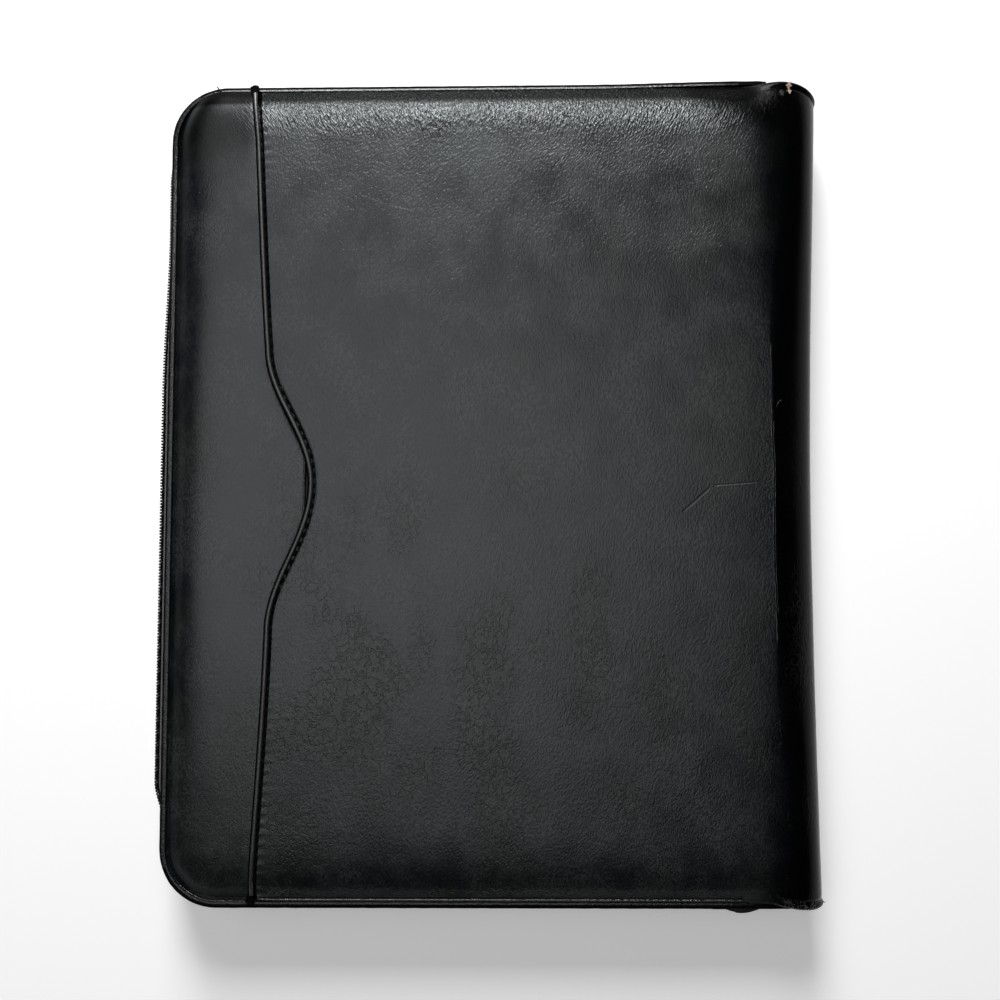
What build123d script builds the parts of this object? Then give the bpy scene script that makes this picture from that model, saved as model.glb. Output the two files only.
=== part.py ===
from build123d import *
import os
from math import asin, atan2, degrees, hypot

# A zippered padfolio: two padded leather covers on a folding spine, closed on three sides by a coil zip,
# with a slip pocket in the front cover and a writing pad and organiser inside. Millimetres.
# +X points to the spine, +Y runs along it and +Z is up. The origin is the middle of the back cover's
# outer face, on which the closed padfolio lies.

os.makedirs("parts", exist_ok=True)

# Covers
cover_length = 338.0
cover_width = 250.0
corner_radius = 23.5
interior_depth = 22.0
leather = 1.2
foam_depth = 3.0
board_depth = 2.0
board_margin = 7.0
lining_depth = 0.8
shoulder_radius = 6.0
binding_radius = 1.1
seam_gap = 0.2
layer_gap = 0.2

# Slip pocket in the front cover
pocket_slack = 0.3
mouth_end = 35.5
mouth_shoulder = 42.4
mouth_peak = 59.8
mouth_peak_y = 0.5
mouth_half_span = 56.0
mouth_hem = 2.2
mouth_hem_rise = 0.6
fore_panel_reach = 58.2

# Spine
spine_setback = 4.0
spine_reach = 18.0
spine_bulge = 3.7
hinge_gap = 0.3

# Zip
zip_spine_setback = 13.0
zip_bow = 5.0
tape_depth = 0.8
coil_depth = 2.6
coil_height = 2.2
coil_spacing = 1.4
stop_length = 2.5
stop_wall = 0.5
slider_length = 14.5
slider_nose = 10.0
slider_tail = 8.6
slider_nose_length = 6.0
slider_plate = 1.4
slider_web = 0.8
slider_round = 1.0
bridge_length = 9.0
bridge_height = 4.5
bridge_width = 2.6
bridge_wall = 1.5
bridge_round = 2.4
running_gap = 0.3
pull_bar_radius = 0.8
pull_arm = 1.2
pull_neck = 6.0
pull_length = 30.0
pull_width = 7.0
pull_depth = 1.5
pull_hole_radius = 1.4

# Writing pad and its sleeve
pad_fore_margin = 9.0
pad_spine_margin = 25.0
pad_head_margin = 22.0
pad_foot_margin = 18.0
pad_board_depth = 1.0
pad_sheet_depth = 6.0
pad_header_depth = 0.6
pad_header_length = 14.0
sleeve_depth = 0.8
sleeve_hem = 4.0
sleeve_length = 200.0

# Organiser on the inside of the front cover
panel_margin = 11.0
panel_depth = 0.8
document_pocket_length = 215.0
document_pocket_room = 0.8
card_pocket_width = 102.0
card_pocket_length = 60.0
card_pocket_step = 14.0
card_pocket_inset = 16.0
card_pockets = 3

# Pen loop
pen_bore_radius = 5.5
pen_loop_depth = 0.8
pen_loop_length = 34.0
pen_loop_tail = 9.0
pen_loop_spine_margin = 11.0
pen_loop_rise = 36.0

# Levels, from the back cover's outer face to the front cover's
back_board_z = leather + foam_depth
back_lining_z = back_board_z + board_depth
back_inside_z = back_lining_z + lining_depth
front_inside_z = back_inside_z + interior_depth
front_lining_z = front_inside_z + lining_depth
front_board_z = front_lining_z + board_depth
front_foam_z = front_board_z + foam_depth
fore_panel_z = front_foam_z + leather
pocket_under_z = fore_panel_z + pocket_slack
front_top_z = pocket_under_z + leather
zip_z = (back_inside_z + front_inside_z) / 2

# Edges that several pieces share
fore_x = -cover_width / 2
hinge_x = cover_width / 2
cover_end_x = hinge_x - hinge_gap
half_length = cover_length / 2
skin_inset = 2 * binding_radius + seam_gap
fore_skin_inset = skin_inset + leather + pocket_slack
front_foam_inset = fore_skin_inset + leather + layer_gap
back_foam_inset = skin_inset + leather + layer_gap
zip_end_x = hinge_x - zip_spine_setback
slider_x = zip_end_x - stop_length - running_gap - slider_length / 2
slider_clear_x = slider_x - slider_length / 2 - running_gap
slider_clear_z = zip_z + slider_nose / 2 + running_gap
run_y = -half_length + binding_radius
past = 10.0


# One cover outline, drawn in from its free edges; only the two fore-edge corners are round
def cover_face(level, inset, end_x):
    left_x = fore_x + inset
    with BuildSketch(Plane.XY.offset(level)) as face:
        with Locations(((left_x + end_x) / 2, 0)):
            Rectangle(end_x - left_x, cover_length - 2 * inset)
        fillet(face.vertices().group_by(Axis.X)[0], corner_radius - inset)
    return face.sketch


# A cover-shaped block from its seam to its crown, whose free edges roll over at the crown
def padded_block(seam_z, crown_z, inset, end_x):
    roll = min(shoulder_radius - inset + skin_inset, 0.9 * abs(crown_z - seam_z))
    with BuildPart() as block:
        extrude(cover_face(seam_z, inset, end_x), amount=crown_z - seam_z)
        crown = block.faces().filter_by_position(Axis.Z, crown_z - 0.01, crown_z + 0.01)
        fillet(crown.edges().sort_by(Axis.X)[:-1], roll)
    return block.part


# A leather skin over a padded block, open along the spine
def cover_skin(seam_z, crown_z, under_z, inset):
    with BuildPart() as skin:
        add(padded_block(seam_z, crown_z, inset, cover_end_x))
        add(padded_block(seam_z, under_z, inset + leather, hinge_x + past), mode=Mode.SUBTRACT)
    return skin.part


# A flat layer of a cover
def cover_plate(bottom_z, depth, inset):
    with BuildPart() as plate:
        extrude(cover_face(bottom_z, inset, cover_end_x), amount=depth)
    return plate.part


# A panel sewn on the inside of a cover, from its foot to a straight mouth
def inner_panel(bottom_z, top_z, inset, end_x, mouth_y):
    with BuildPart() as panel:
        extrude(cover_face(bottom_z, inset, end_x), amount=top_z - bottom_z)
        split(bisect_by=Plane.XZ.offset(-mouth_y), keep=Keep.BOTTOM)
    return panel.part


# The pocket mouth's wavy line, from the cover's top edge to its bottom edge
def mouth_line(shift):
    end_x = fore_x + mouth_end + shift
    shoulder_x = fore_x + mouth_shoulder + shift
    peak_x = fore_x + mouth_peak + shift
    middle_x = (shoulder_x + peak_x) / 2
    upper_y = mouth_peak_y + mouth_half_span
    lower_y = mouth_peak_y - mouth_half_span
    with BuildLine() as line:
        Line((end_x, half_length + past), (shoulder_x, upper_y))
        TangentArc((shoulder_x, upper_y), (middle_x, (upper_y + mouth_peak_y) / 2), tangent=(0, -1))
        TangentArc((peak_x, mouth_peak_y), (middle_x, (upper_y + mouth_peak_y) / 2), tangent=(0, 1))
        TangentArc((peak_x, mouth_peak_y), (middle_x, (lower_y + mouth_peak_y) / 2), tangent=(0, -1))
        TangentArc((shoulder_x, lower_y), (middle_x, (lower_y + mouth_peak_y) / 2), tangent=(0, 1))
        Line((shoulder_x, lower_y), (end_x, -half_length - past))
    return line.line


# The area between the wavy line and a second edge, tall enough to cut any layer of the front cover
def mouth_region(shift, end_x):
    top_y = half_length + past
    start_x = fore_x + mouth_end + shift
    with BuildPart() as region:
        with BuildSketch(Plane.XY.offset(front_inside_z)):
            with BuildLine():
                add(mouth_line(shift))
                Polyline((start_x, -top_y), (end_x, -top_y), (end_x, top_y), (start_x, top_y))
            make_face()
        extrude(amount=front_top_z - front_inside_z + past)
    return region.part


# One side of the zip's path round three edges of the cover, bowed outwards along the fore edge
def zip_line(inset, bow, first_end_x, last_end_x):
    edge_x = fore_x + inset
    corner_x = fore_x + corner_radius
    corner_y = half_length - corner_radius
    edge_y = half_length - inset
    with BuildLine() as line:
        Line((first_end_x, edge_y), (corner_x, edge_y))
        CenterArc((corner_x, corner_y), corner_radius - inset, 90, 90)
        if bow > 0:
            ThreePointArc((edge_x, corner_y), (edge_x - bow, 0), (edge_x, -corner_y))
        else:
            Line((edge_x, corner_y), (edge_x, -corner_y))
        CenterArc((corner_x, -corner_y), corner_radius - inset, 180, 90)
        Line((corner_x, -edge_y), (last_end_x, -edge_y))
    return line.line


# A ribbon of the zip at one height, centred under the binding
def zip_ribbon(level, depth, bow, first_end_x, last_end_x):
    outer = binding_radius - depth / 2
    inner = binding_radius + depth / 2
    with BuildSketch(Plane.XY.offset(level)) as ribbon:
        with BuildLine():
            add(zip_line(outer, bow, first_end_x, last_end_x))
            add(zip_line(inner, bow, first_end_x, last_end_x))
            Line((first_end_x, half_length - outer), (first_end_x, half_length - inner))
            Line((last_end_x, -half_length + outer), (last_end_x, -half_length + inner))
        make_face()
    return ribbon.sketch


# A rectangular block between two corners
def block_between(low, high):
    with BuildPart() as block:
        with Locations((Vector(*low) + Vector(*high)) / 2):
            Box(*(Vector(*high) - Vector(*low)))
    return block.part


# Names a finished piece and writes it
def finish(piece, name):
    piece.label = name
    export_step(piece, f"parts/{name}.step")


# Back cover: leather, foam, board and lining
with BuildPart() as back_leather:
    add(cover_skin(back_lining_z, 0, leather, skin_inset))
finish(back_leather.part, "back_leather")

with BuildPart() as back_foam:
    add(padded_block(back_lining_z, leather, back_foam_inset, cover_end_x))
    split(bisect_by=Plane.XY.offset(back_board_z), keep=Keep.BOTTOM)
finish(back_foam.part, "back_foam")

with BuildPart() as back_board:
    add(cover_plate(back_board_z, board_depth, board_margin))
finish(back_board.part, "back_board")

with BuildPart() as back_lining:
    add(cover_plate(back_lining_z, lining_depth, skin_inset))
finish(back_lining.part, "back_lining")

# Front cover: pocket panel, the mouth's rolled hem, fore panel, pocket lining, foam, board and lining
with BuildPart() as front_pocket_panel:
    add(cover_skin(front_lining_z, front_top_z, pocket_under_z, skin_inset))
    add(mouth_region(mouth_hem, hinge_x + past), mode=Mode.INTERSECT)
finish(front_pocket_panel.part, "front_pocket_panel")

with BuildPart() as pocket_mouth_hem:
    add(cover_skin(front_lining_z, front_top_z + mouth_hem_rise, pocket_under_z, skin_inset))
    add(mouth_region(0, hinge_x + past), mode=Mode.INTERSECT)
    add(mouth_region(mouth_hem, hinge_x + past), mode=Mode.SUBTRACT)
finish(pocket_mouth_hem.part, "pocket_mouth_hem")

with BuildPart() as fore_panel:
    add(cover_skin(front_lining_z, fore_panel_z, front_foam_z, fore_skin_inset))
    split(bisect_by=Plane.YZ.offset(fore_x + fore_panel_reach), keep=Keep.BOTTOM)
finish(fore_panel.part, "fore_panel")

with BuildPart() as pocket_lining:
    add(cover_plate(front_foam_z, lining_depth, fore_skin_inset + shoulder_radius))
    split(bisect_by=Plane.YZ.offset(fore_x + fore_panel_reach), keep=Keep.TOP)
finish(pocket_lining.part, "pocket_lining")

with BuildPart() as front_foam:
    add(padded_block(front_lining_z, front_foam_z, front_foam_inset, cover_end_x))
    split(bisect_by=Plane.XY.offset(front_board_z), keep=Keep.TOP)
finish(front_foam.part, "front_foam")

with BuildPart() as front_board:
    add(cover_plate(front_lining_z, board_depth, board_margin))
finish(front_board.part, "front_board")

with BuildPart() as front_lining:
    add(cover_plate(front_inside_z, lining_depth, skin_inset))
finish(front_lining.part, "front_lining")

# Rolled bindings along the three free edges of each cover
binding_levels = {
    "back_binding": back_lining_z - binding_radius,
    "front_binding": front_lining_z + binding_radius,
}
for name, level in binding_levels.items():
    with BuildPart() as binding:
        with BuildLine(Plane.XY.offset(level)) as edge:
            add(zip_line(binding_radius, 0, cover_end_x, cover_end_x).moved(Location((0, 0, level))))
        with BuildSketch(Plane(origin=edge.line @ 0, z_dir=edge.line % 0)):
            Circle(binding_radius)
        sweep()
    finish(binding.part, name)

# Zip tapes, lofted from the bindings to the coils
coil_inner_z = coil_spacing / 2
coil_outer_z = coil_inner_z + coil_height
binding_clear = binding_radius + layer_gap

with BuildPart() as back_zip_tape:
    seam_z = binding_levels["back_binding"] + binding_clear
    lower = zip_ribbon(seam_z, tape_depth, 0, zip_end_x, zip_end_x)
    upper = zip_ribbon(zip_z - coil_outer_z, tape_depth, zip_bow, zip_end_x, zip_end_x)
    loft([lower.face(), upper.face()], ruled=True)
finish(back_zip_tape.part, "back_zip_tape")

# The front tape and coil stop short beside the parked slider, so that the cover lifts off it
with BuildPart() as front_zip_tape:
    seam_z = binding_levels["front_binding"] - binding_clear
    lower = zip_ribbon(zip_z + coil_outer_z, tape_depth, zip_bow, zip_end_x, zip_end_x)
    upper = zip_ribbon(seam_z, tape_depth, 0, zip_end_x, zip_end_x)
    loft([lower.face(), upper.face()], ruled=True)
    notch_low = (slider_clear_x, run_y - past, zip_z)
    notch_high = (zip_end_x + past, run_y + past, slider_clear_z)
    add(block_between(notch_low, notch_high), mode=Mode.SUBTRACT)
finish(front_zip_tape.part, "front_zip_tape")

with BuildPart() as back_zip_coil:
    coil_ends = (zip_end_x - stop_length, zip_end_x - stop_length)
    extrude(zip_ribbon(zip_z - coil_outer_z, coil_depth, zip_bow, *coil_ends), amount=coil_height)
finish(back_zip_coil.part, "back_zip_coil")

with BuildPart() as front_zip_coil:
    coil_ends = (zip_end_x - stop_length - running_gap, slider_clear_x)
    extrude(zip_ribbon(zip_z + coil_inner_z, coil_depth, zip_bow, *coil_ends), amount=coil_height)
finish(front_zip_coil.part, "front_zip_coil")

# Crimped stops at the two ends of the zip
stop_low_x = zip_end_x - stop_length
stop_half = coil_depth / 2 + stop_wall
for name, stop_y in {"zip_start_stop": -run_y, "zip_end_stop": run_y}.items():
    with BuildPart() as stop:
        low = (stop_low_x, stop_y - stop_half, zip_z - coil_outer_z)
        high = (zip_end_x, stop_y + stop_half, zip_z - coil_inner_z)
        add(block_between(low, high))
        fillet(stop.edges().filter_by(Axis.Z), stop_wall)
    finish(stop.part, name)

# Slider: two plates on a web, with a channel for each coil and a slot for each tape
channel_half = coil_depth / 2 + running_gap
body_half = channel_half + slider_plate
slot = tape_depth + 2 * running_gap
channel_height = coil_height + 2 * (coil_inner_z - slider_web / 2)
channel_z = slider_web / 2 + channel_height / 2
bridge_top = body_half + bridge_height
bridge_hole_length = bridge_length - 2 * bridge_wall
bridge_hole_height = bridge_height - bridge_wall
pull_axis = body_half + bridge_hole_height / 2

with BuildPart() as zip_slider:
    with BuildSketch(Plane.XZ.offset(-run_y)):
        with BuildLine():
            tail_x = slider_x - slider_length / 2
            nose_x = slider_x + slider_length / 2
            shoulder_x = nose_x - slider_nose_length
            Polyline(
                (tail_x, zip_z - slider_tail / 2),
                (shoulder_x, zip_z - slider_nose / 2),
                (nose_x, zip_z - slider_nose / 2),
                (nose_x, zip_z + slider_nose / 2),
                (shoulder_x, zip_z + slider_nose / 2),
                (tail_x, zip_z + slider_tail / 2),
                close=True,
            )
        make_face()
    extrude(amount=body_half, both=True)
    fillet(zip_slider.edges().filter_by(Axis.Y), slider_round)
    rims = zip_slider.faces().filter_by(Axis.Y)
    fillet(rims.edges(), slider_round)
    with BuildSketch(Plane.YZ.offset(tail_x - past)):
        with Locations((run_y, zip_z + channel_z), (run_y, zip_z - channel_z)):
            Rectangle(2 * channel_half, channel_height)
        with Locations((run_y, zip_z + slider_nose), (run_y, zip_z - slider_nose)):
            Rectangle(slot, 2 * (slider_nose - channel_z))
    extrude(amount=slider_length + 2 * past, mode=Mode.SUBTRACT)
    with BuildSketch(Plane.XY.offset(zip_z - bridge_width / 2)):
        with Locations((slider_x, run_y - bridge_top / 2 - channel_half / 2)):
            arch = Rectangle(bridge_length, bridge_top - channel_half)
        fillet(arch.vertices().group_by(Axis.Y)[0], bridge_round)
        with Locations((slider_x, run_y - pull_axis)):
            Rectangle(bridge_hole_length, bridge_hole_height, mode=Mode.SUBTRACT)
    extrude(amount=bridge_width)
finish(zip_slider.part, "zip_slider")

# Pull tab, whose bar turns in the slider's bridge
arm_inner = bridge_width / 2 + running_gap
arm_outer = arm_inner + pull_arm
pull_y = run_y - pull_axis

with BuildPart() as zip_pull:
    with BuildSketch(Plane.XZ.offset(-pull_y)):
        tab_start_x = slider_x + pull_neck
        tab_length = pull_length - pull_neck
        with Locations((tab_start_x + tab_length / 2, zip_z)):
            tab = Rectangle(tab_length, pull_width)
        fillet(tab.vertices().group_by(Axis.X)[-1], 0.45 * pull_width)
        fillet(tab.vertices().group_by(Axis.X)[0], 0.15 * pull_width)
        for side in (-1, 1):
            arm_z = zip_z + side * (arm_inner + arm_outer) / 2
            with Locations((slider_x + pull_neck / 2, arm_z)):
                Rectangle(pull_neck + pull_arm, pull_arm)
        with Locations((slider_x + pull_length - pull_width / 2, zip_z)):
            Circle(pull_hole_radius, mode=Mode.SUBTRACT)
    extrude(amount=pull_depth / 2, both=True)
    with BuildSketch(Plane.XY.offset(zip_z - arm_outer)):
        with Locations((slider_x, pull_y)):
            Circle(pull_bar_radius)
    extrude(amount=2 * arm_outer)
finish(zip_pull.part, "zip_pull")

# Spine: leather and lining in two folds, each an arc hinged at both ends on the leather's outer face
spine_z = front_top_z / 2
fold_rise = spine_z - spine_setback
fold_chord = hypot(spine_reach, fold_rise)
fold_radius = fold_chord**2 / (8 * spine_bulge) + spine_bulge / 2
fold_drop = fold_radius - spine_bulge
fold_tilt = degrees(atan2(spine_reach, fold_rise))
fold_half_angle = degrees(asin(fold_chord / 2 / fold_radius))
fold_clear = degrees(hinge_gap / 2 / fold_radius)
spine_layers = {
    "spine_leather": (fold_radius, leather),
    "spine_lining": (fold_radius - leather, lining_depth),
}
for fold, side in ((1, -1), (2, 1)):
    center_x = hinge_x + spine_reach / 2 - fold_drop * fold_rise / fold_chord
    center_z = spine_z + side * (fold_rise / 2 - fold_drop * spine_reach / fold_chord)
    crease_angle = side * (fold_tilt + fold_half_angle - fold_clear)
    sweep_angle = -side * (2 * fold_half_angle - fold_clear)
    middle = Plane.XY.offset(spine_z + side * hinge_gap / 2)
    for layer, (radius, depth) in spine_layers.items():
        with BuildPart() as spine:
            with BuildSketch(Plane.XZ):
                with BuildLine():
                    outer = CenterArc((center_x, center_z), radius, crease_angle, sweep_angle)
                    inner = CenterArc((center_x, center_z), radius - depth, crease_angle, sweep_angle)
                    Line(outer @ 0, inner @ 0)
                    Line(outer @ 1, inner @ 1)
                make_face()
            extrude(amount=half_length, both=True)
            split(bisect_by=middle, keep=Keep.TOP if side > 0 else Keep.BOTTOM)
        finish(spine.part, f"{layer}_{fold}")

# Writing pad: backing board, sheets and the header that binds them at the head
pad_low_x = fore_x + pad_fore_margin
pad_high_x = hinge_x - pad_spine_margin
pad_low_y = -half_length + pad_head_margin
pad_high_y = half_length - pad_foot_margin
sleeve_under_z = back_inside_z + pad_board_depth + layer_gap
sheets_z = sleeve_under_z + sleeve_depth + layer_gap
pad_top_z = sheets_z + pad_sheet_depth
header_low_y = pad_low_y - pad_header_depth
header_high_y = pad_low_y + pad_header_length

with BuildPart() as pad_board:
    low = (pad_low_x, pad_low_y, back_inside_z)
    add(block_between(low, (pad_high_x, pad_high_y, back_inside_z + pad_board_depth)))
finish(pad_board.part, "pad_board")

with BuildPart() as pad_sheets:
    add(block_between((pad_low_x, pad_low_y, sheets_z), (pad_high_x, pad_high_y, pad_top_z)))
finish(pad_sheets.part, "pad_sheets")

with BuildPart() as pad_header:
    with BuildSketch(Plane.YZ.offset(pad_low_x)):
        with BuildLine():
            Polyline(
                (header_low_y, back_inside_z),
                (pad_low_y, back_inside_z),
                (pad_low_y, back_inside_z + pad_board_depth),
                (header_high_y, back_inside_z + pad_board_depth),
                (header_high_y, sheets_z),
                (pad_low_y, sheets_z),
                (pad_low_y, pad_top_z),
                (header_high_y, pad_top_z),
                (header_high_y, pad_top_z + pad_header_depth),
                (header_low_y, pad_top_z + pad_header_depth),
                close=True,
            )
        make_face()
    extrude(amount=pad_high_x - pad_low_x)
finish(pad_header.part, "pad_header")

# Sleeve on the back lining, sewn along three edges, that takes the pad's board
sleeve_inset = pad_fore_margin - sleeve_hem
sleeve_top_z = sleeve_under_z + sleeve_depth
sleeve_mouth_y = half_length - sleeve_inset - sleeve_length

with BuildPart() as pad_sleeve:
    add(inner_panel(back_inside_z, sleeve_top_z, sleeve_inset, pad_high_x + sleeve_hem, sleeve_mouth_y))
    low = (pad_low_x - layer_gap, sleeve_mouth_y - past, back_inside_z)
    high = (pad_high_x + layer_gap, pad_high_y + layer_gap, sleeve_under_z)
    add(block_between(low, high), mode=Mode.SUBTRACT)
finish(pad_sleeve.part, "pad_sleeve")

# Organiser: a document pocket sewn along three edges, with stepped card pockets on it
panel_low_x = fore_x + panel_margin
panel_high_x = hinge_x - panel_margin
panel_high_y = half_length - panel_margin
panel_mouth_y = panel_high_y - document_pocket_length
document_z = front_inside_z - document_pocket_room - panel_depth
document_hem = corner_radius - panel_margin

with BuildPart() as document_pocket:
    add(inner_panel(document_z, front_inside_z, panel_margin, panel_high_x, panel_mouth_y))
    low = (panel_low_x + document_hem, panel_mouth_y - past, document_z + panel_depth)
    high = (panel_high_x - document_hem, panel_high_y - document_hem, front_inside_z)
    add(block_between(low, high), mode=Mode.SUBTRACT)
finish(document_pocket.part, "document_pocket")

card_low_x = panel_low_x + card_pocket_inset
card_high_y = panel_high_y - card_pocket_inset
for step in range(card_pockets):
    with BuildPart() as card_pocket:
        top_z = document_z - step * panel_depth
        low_y = card_high_y - card_pocket_length - (card_pockets - 1 - step) * card_pocket_step
        low = (card_low_x, low_y, top_z - panel_depth)
        add(block_between(low, (card_low_x + card_pocket_width, card_high_y, top_z)))
    finish(card_pocket.part, f"card_pocket_{step + 1}")

# Pen loop sewn to the back lining beside the spine, above the sleeve's mouth
pen_outer_radius = pen_bore_radius + pen_loop_depth
pen_x = hinge_x - pen_loop_spine_margin
pen_z = back_inside_z + pen_outer_radius

with BuildPart() as pen_loop:
    with BuildSketch(Plane.XZ.offset(-sleeve_mouth_y - pen_loop_rise)):
        with Locations((pen_x, pen_z)):
            Circle(pen_outer_radius)
        with Locations((pen_x - pen_loop_tail / 2, back_inside_z + pen_loop_depth / 2)):
            Rectangle(pen_loop_tail, pen_loop_depth)
        with Locations((pen_x, pen_z)):
            Circle(pen_bore_radius, mode=Mode.SUBTRACT)
    extrude(amount=pen_loop_length / 2, both=True)
finish(pen_loop.part, "pen_loop")
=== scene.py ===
import math
import random
import bpy
import bmesh
from mathutils import Matrix, Vector, noise


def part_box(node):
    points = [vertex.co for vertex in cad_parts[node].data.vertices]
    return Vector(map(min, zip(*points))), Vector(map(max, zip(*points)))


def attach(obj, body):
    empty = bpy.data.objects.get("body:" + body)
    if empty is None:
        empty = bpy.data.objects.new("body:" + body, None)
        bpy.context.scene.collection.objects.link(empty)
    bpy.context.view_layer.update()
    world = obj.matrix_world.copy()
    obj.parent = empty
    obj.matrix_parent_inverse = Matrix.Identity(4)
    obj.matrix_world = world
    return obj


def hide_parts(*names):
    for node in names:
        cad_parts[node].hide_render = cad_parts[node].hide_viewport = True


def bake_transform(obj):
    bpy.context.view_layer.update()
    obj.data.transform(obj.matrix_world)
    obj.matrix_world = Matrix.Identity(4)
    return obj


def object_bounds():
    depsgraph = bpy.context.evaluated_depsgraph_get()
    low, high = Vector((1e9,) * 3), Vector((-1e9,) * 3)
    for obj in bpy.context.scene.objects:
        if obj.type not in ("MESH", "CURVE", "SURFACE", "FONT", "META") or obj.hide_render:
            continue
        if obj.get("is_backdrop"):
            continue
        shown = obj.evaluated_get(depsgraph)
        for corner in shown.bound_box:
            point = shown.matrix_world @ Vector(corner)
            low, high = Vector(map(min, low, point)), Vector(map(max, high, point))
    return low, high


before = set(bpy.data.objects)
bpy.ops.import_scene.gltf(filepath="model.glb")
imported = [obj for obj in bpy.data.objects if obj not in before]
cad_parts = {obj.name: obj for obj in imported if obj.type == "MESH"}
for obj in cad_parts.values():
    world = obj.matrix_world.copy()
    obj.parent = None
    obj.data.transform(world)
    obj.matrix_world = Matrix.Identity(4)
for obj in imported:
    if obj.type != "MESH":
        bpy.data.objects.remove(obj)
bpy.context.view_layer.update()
scene = bpy.context.scene
mm = 0.001

# The covers' own lines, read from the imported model
beadLow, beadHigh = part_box("front_binding")
backBeadLow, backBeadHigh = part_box("back_binding")
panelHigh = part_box("front_pocket_panel")[1]
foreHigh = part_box("fore_panel")[1]
cover = {
    "foreX": beadLow.x,
    "half": beadHigh.y,
    "corner": 23.5 * mm,
    "beadRadius": (beadHigh.z - beadLow.z) / 2,
    "topZ": panelHigh.z,
    "foreTopZ": foreHigh.z,
    "rollSlope": 0.5,  # steepest part of the padded edge, which fades out inwards
    "rollFrom": 7.5 * mm,
    "rollReach": 6.0 * mm,
    "wallFoot": 2.3 * mm,  # the drop where the leather is sewn down beside the bead
    "wallTop": 3.4 * mm,
    "footZ": beadLow.z + 2.2 * mm,
    "heldX": (114 * mm, 130 * mm),  # the spine's turned ends roll down less
    "skinInset": 2.3 * mm,
    "skinDepth": 1.2 * mm,
    "seamX": 112 * mm,  # the covers' skins end here and the spine's begin
    "wrinkle": 0.07 * mm,
    "wrinkleSizes": (34 * mm, 13 * mm),
    "rimPucker": 0.16 * mm,
    "rimReach": 9 * mm,
    "rimSize": 10 * mm,
}


# Shader maths as expressions on sockets
class Paint:
    def __init__(self, tree, socket=None):
        self.tree, self.socket = tree, socket

    def node(self, kind, settings=None, sockets=None, out=0):
        made = self.tree.nodes.new(kind)
        for key, value in (settings or {}).items():
            setattr(made, key, value)
        for key, value in (sockets or {}).items():
            if isinstance(value, Paint):
                self.tree.links.new(value.socket, made.inputs[key])
            else:
                made.inputs[key].default_value = value
        return Paint(self.tree, made.outputs[out])

    def maths(self, how, a, b=0.0):
        return self.node("ShaderNodeMath", {"operation": how}, {0: a, 1: b})

    def __add__(self, other):
        return self.maths("ADD", self, other)

    __radd__ = __add__

    def __sub__(self, other):
        return self.maths("SUBTRACT", self, other)

    def __rsub__(self, other):
        return self.maths("SUBTRACT", other, self)

    def __mul__(self, other):
        return self.maths("MULTIPLY", self, other)

    __rmul__ = __mul__

    def __truediv__(self, other):
        return self.maths("DIVIDE", self, other)

    def __abs__(self):
        return self.maths("ABSOLUTE", self)

    def rise(self, low, high):  # 0 at low, 1 at high, smooth between
        ends = {"Value": self, "From Min": low, "From Max": high}
        return self.node("ShaderNodeMapRange", {"interpolation_type": "SMOOTHSTEP"}, ends)

    def mixed(self, a, b):  # from colour a to colour b by this share
        return self.node("ShaderNodeMix", {"data_type": "RGBA"}, {0: self, 6: a, 7: b}, 2)

    def clouds(self, stretch, detail=2.0, rough=0.5, warp=0.0, seed=0.0):  # noise, stretch in waves per millimetre
        moved = {0: self, 1: stretch, 2: (seed, seed, seed)}
        place = self.node("ShaderNodeVectorMath", {"operation": "MULTIPLY_ADD"}, moved)
        values = {"Vector": place, "Scale": 1.0, "Detail": detail, "Roughness": rough, "Distortion": warp}
        return self.node("ShaderNodeTexNoise", None, values)

    def cells(self, stretch):  # distance from the middle of each cell
        place = self.node("ShaderNodeVectorMath", {"operation": "MULTIPLY"}, {0: self, 1: stretch})
        return self.node("ShaderNodeTexVoronoi", None, {"Vector": place, "Scale": 1.0}, "Distance")

    def shifted(self, across):  # moved along X by a changing amount
        step = self.node("ShaderNodeCombineXYZ", None, {"X": across})
        return self.node("ShaderNodeVectorMath", {"operation": "ADD"}, {0: self, 1: step})

    def along(self, axis):
        return self.node("ShaderNodeSeparateXYZ", None, {0: self}, axis)

    def scratch(self, start, end, width):  # 1 on a line between two points in plan
        turn = math.atan2(end[1] - start[1], end[0] - start[0])
        length = math.dist(start, end)
        moved = {"Vector": self, "Location": (*start, 0.0), "Rotation": (0.0, 0.0, turn)}
        local = self.node("ShaderNodeMapping", {"vector_type": "TEXTURE"}, moved)
        x, y = local.along("X"), abs(local.along("Y"))
        return y.rise(width, 0.3 * width) * x.rise(0.0, 0.1 * length) * x.rise(length, 0.8 * length)


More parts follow.
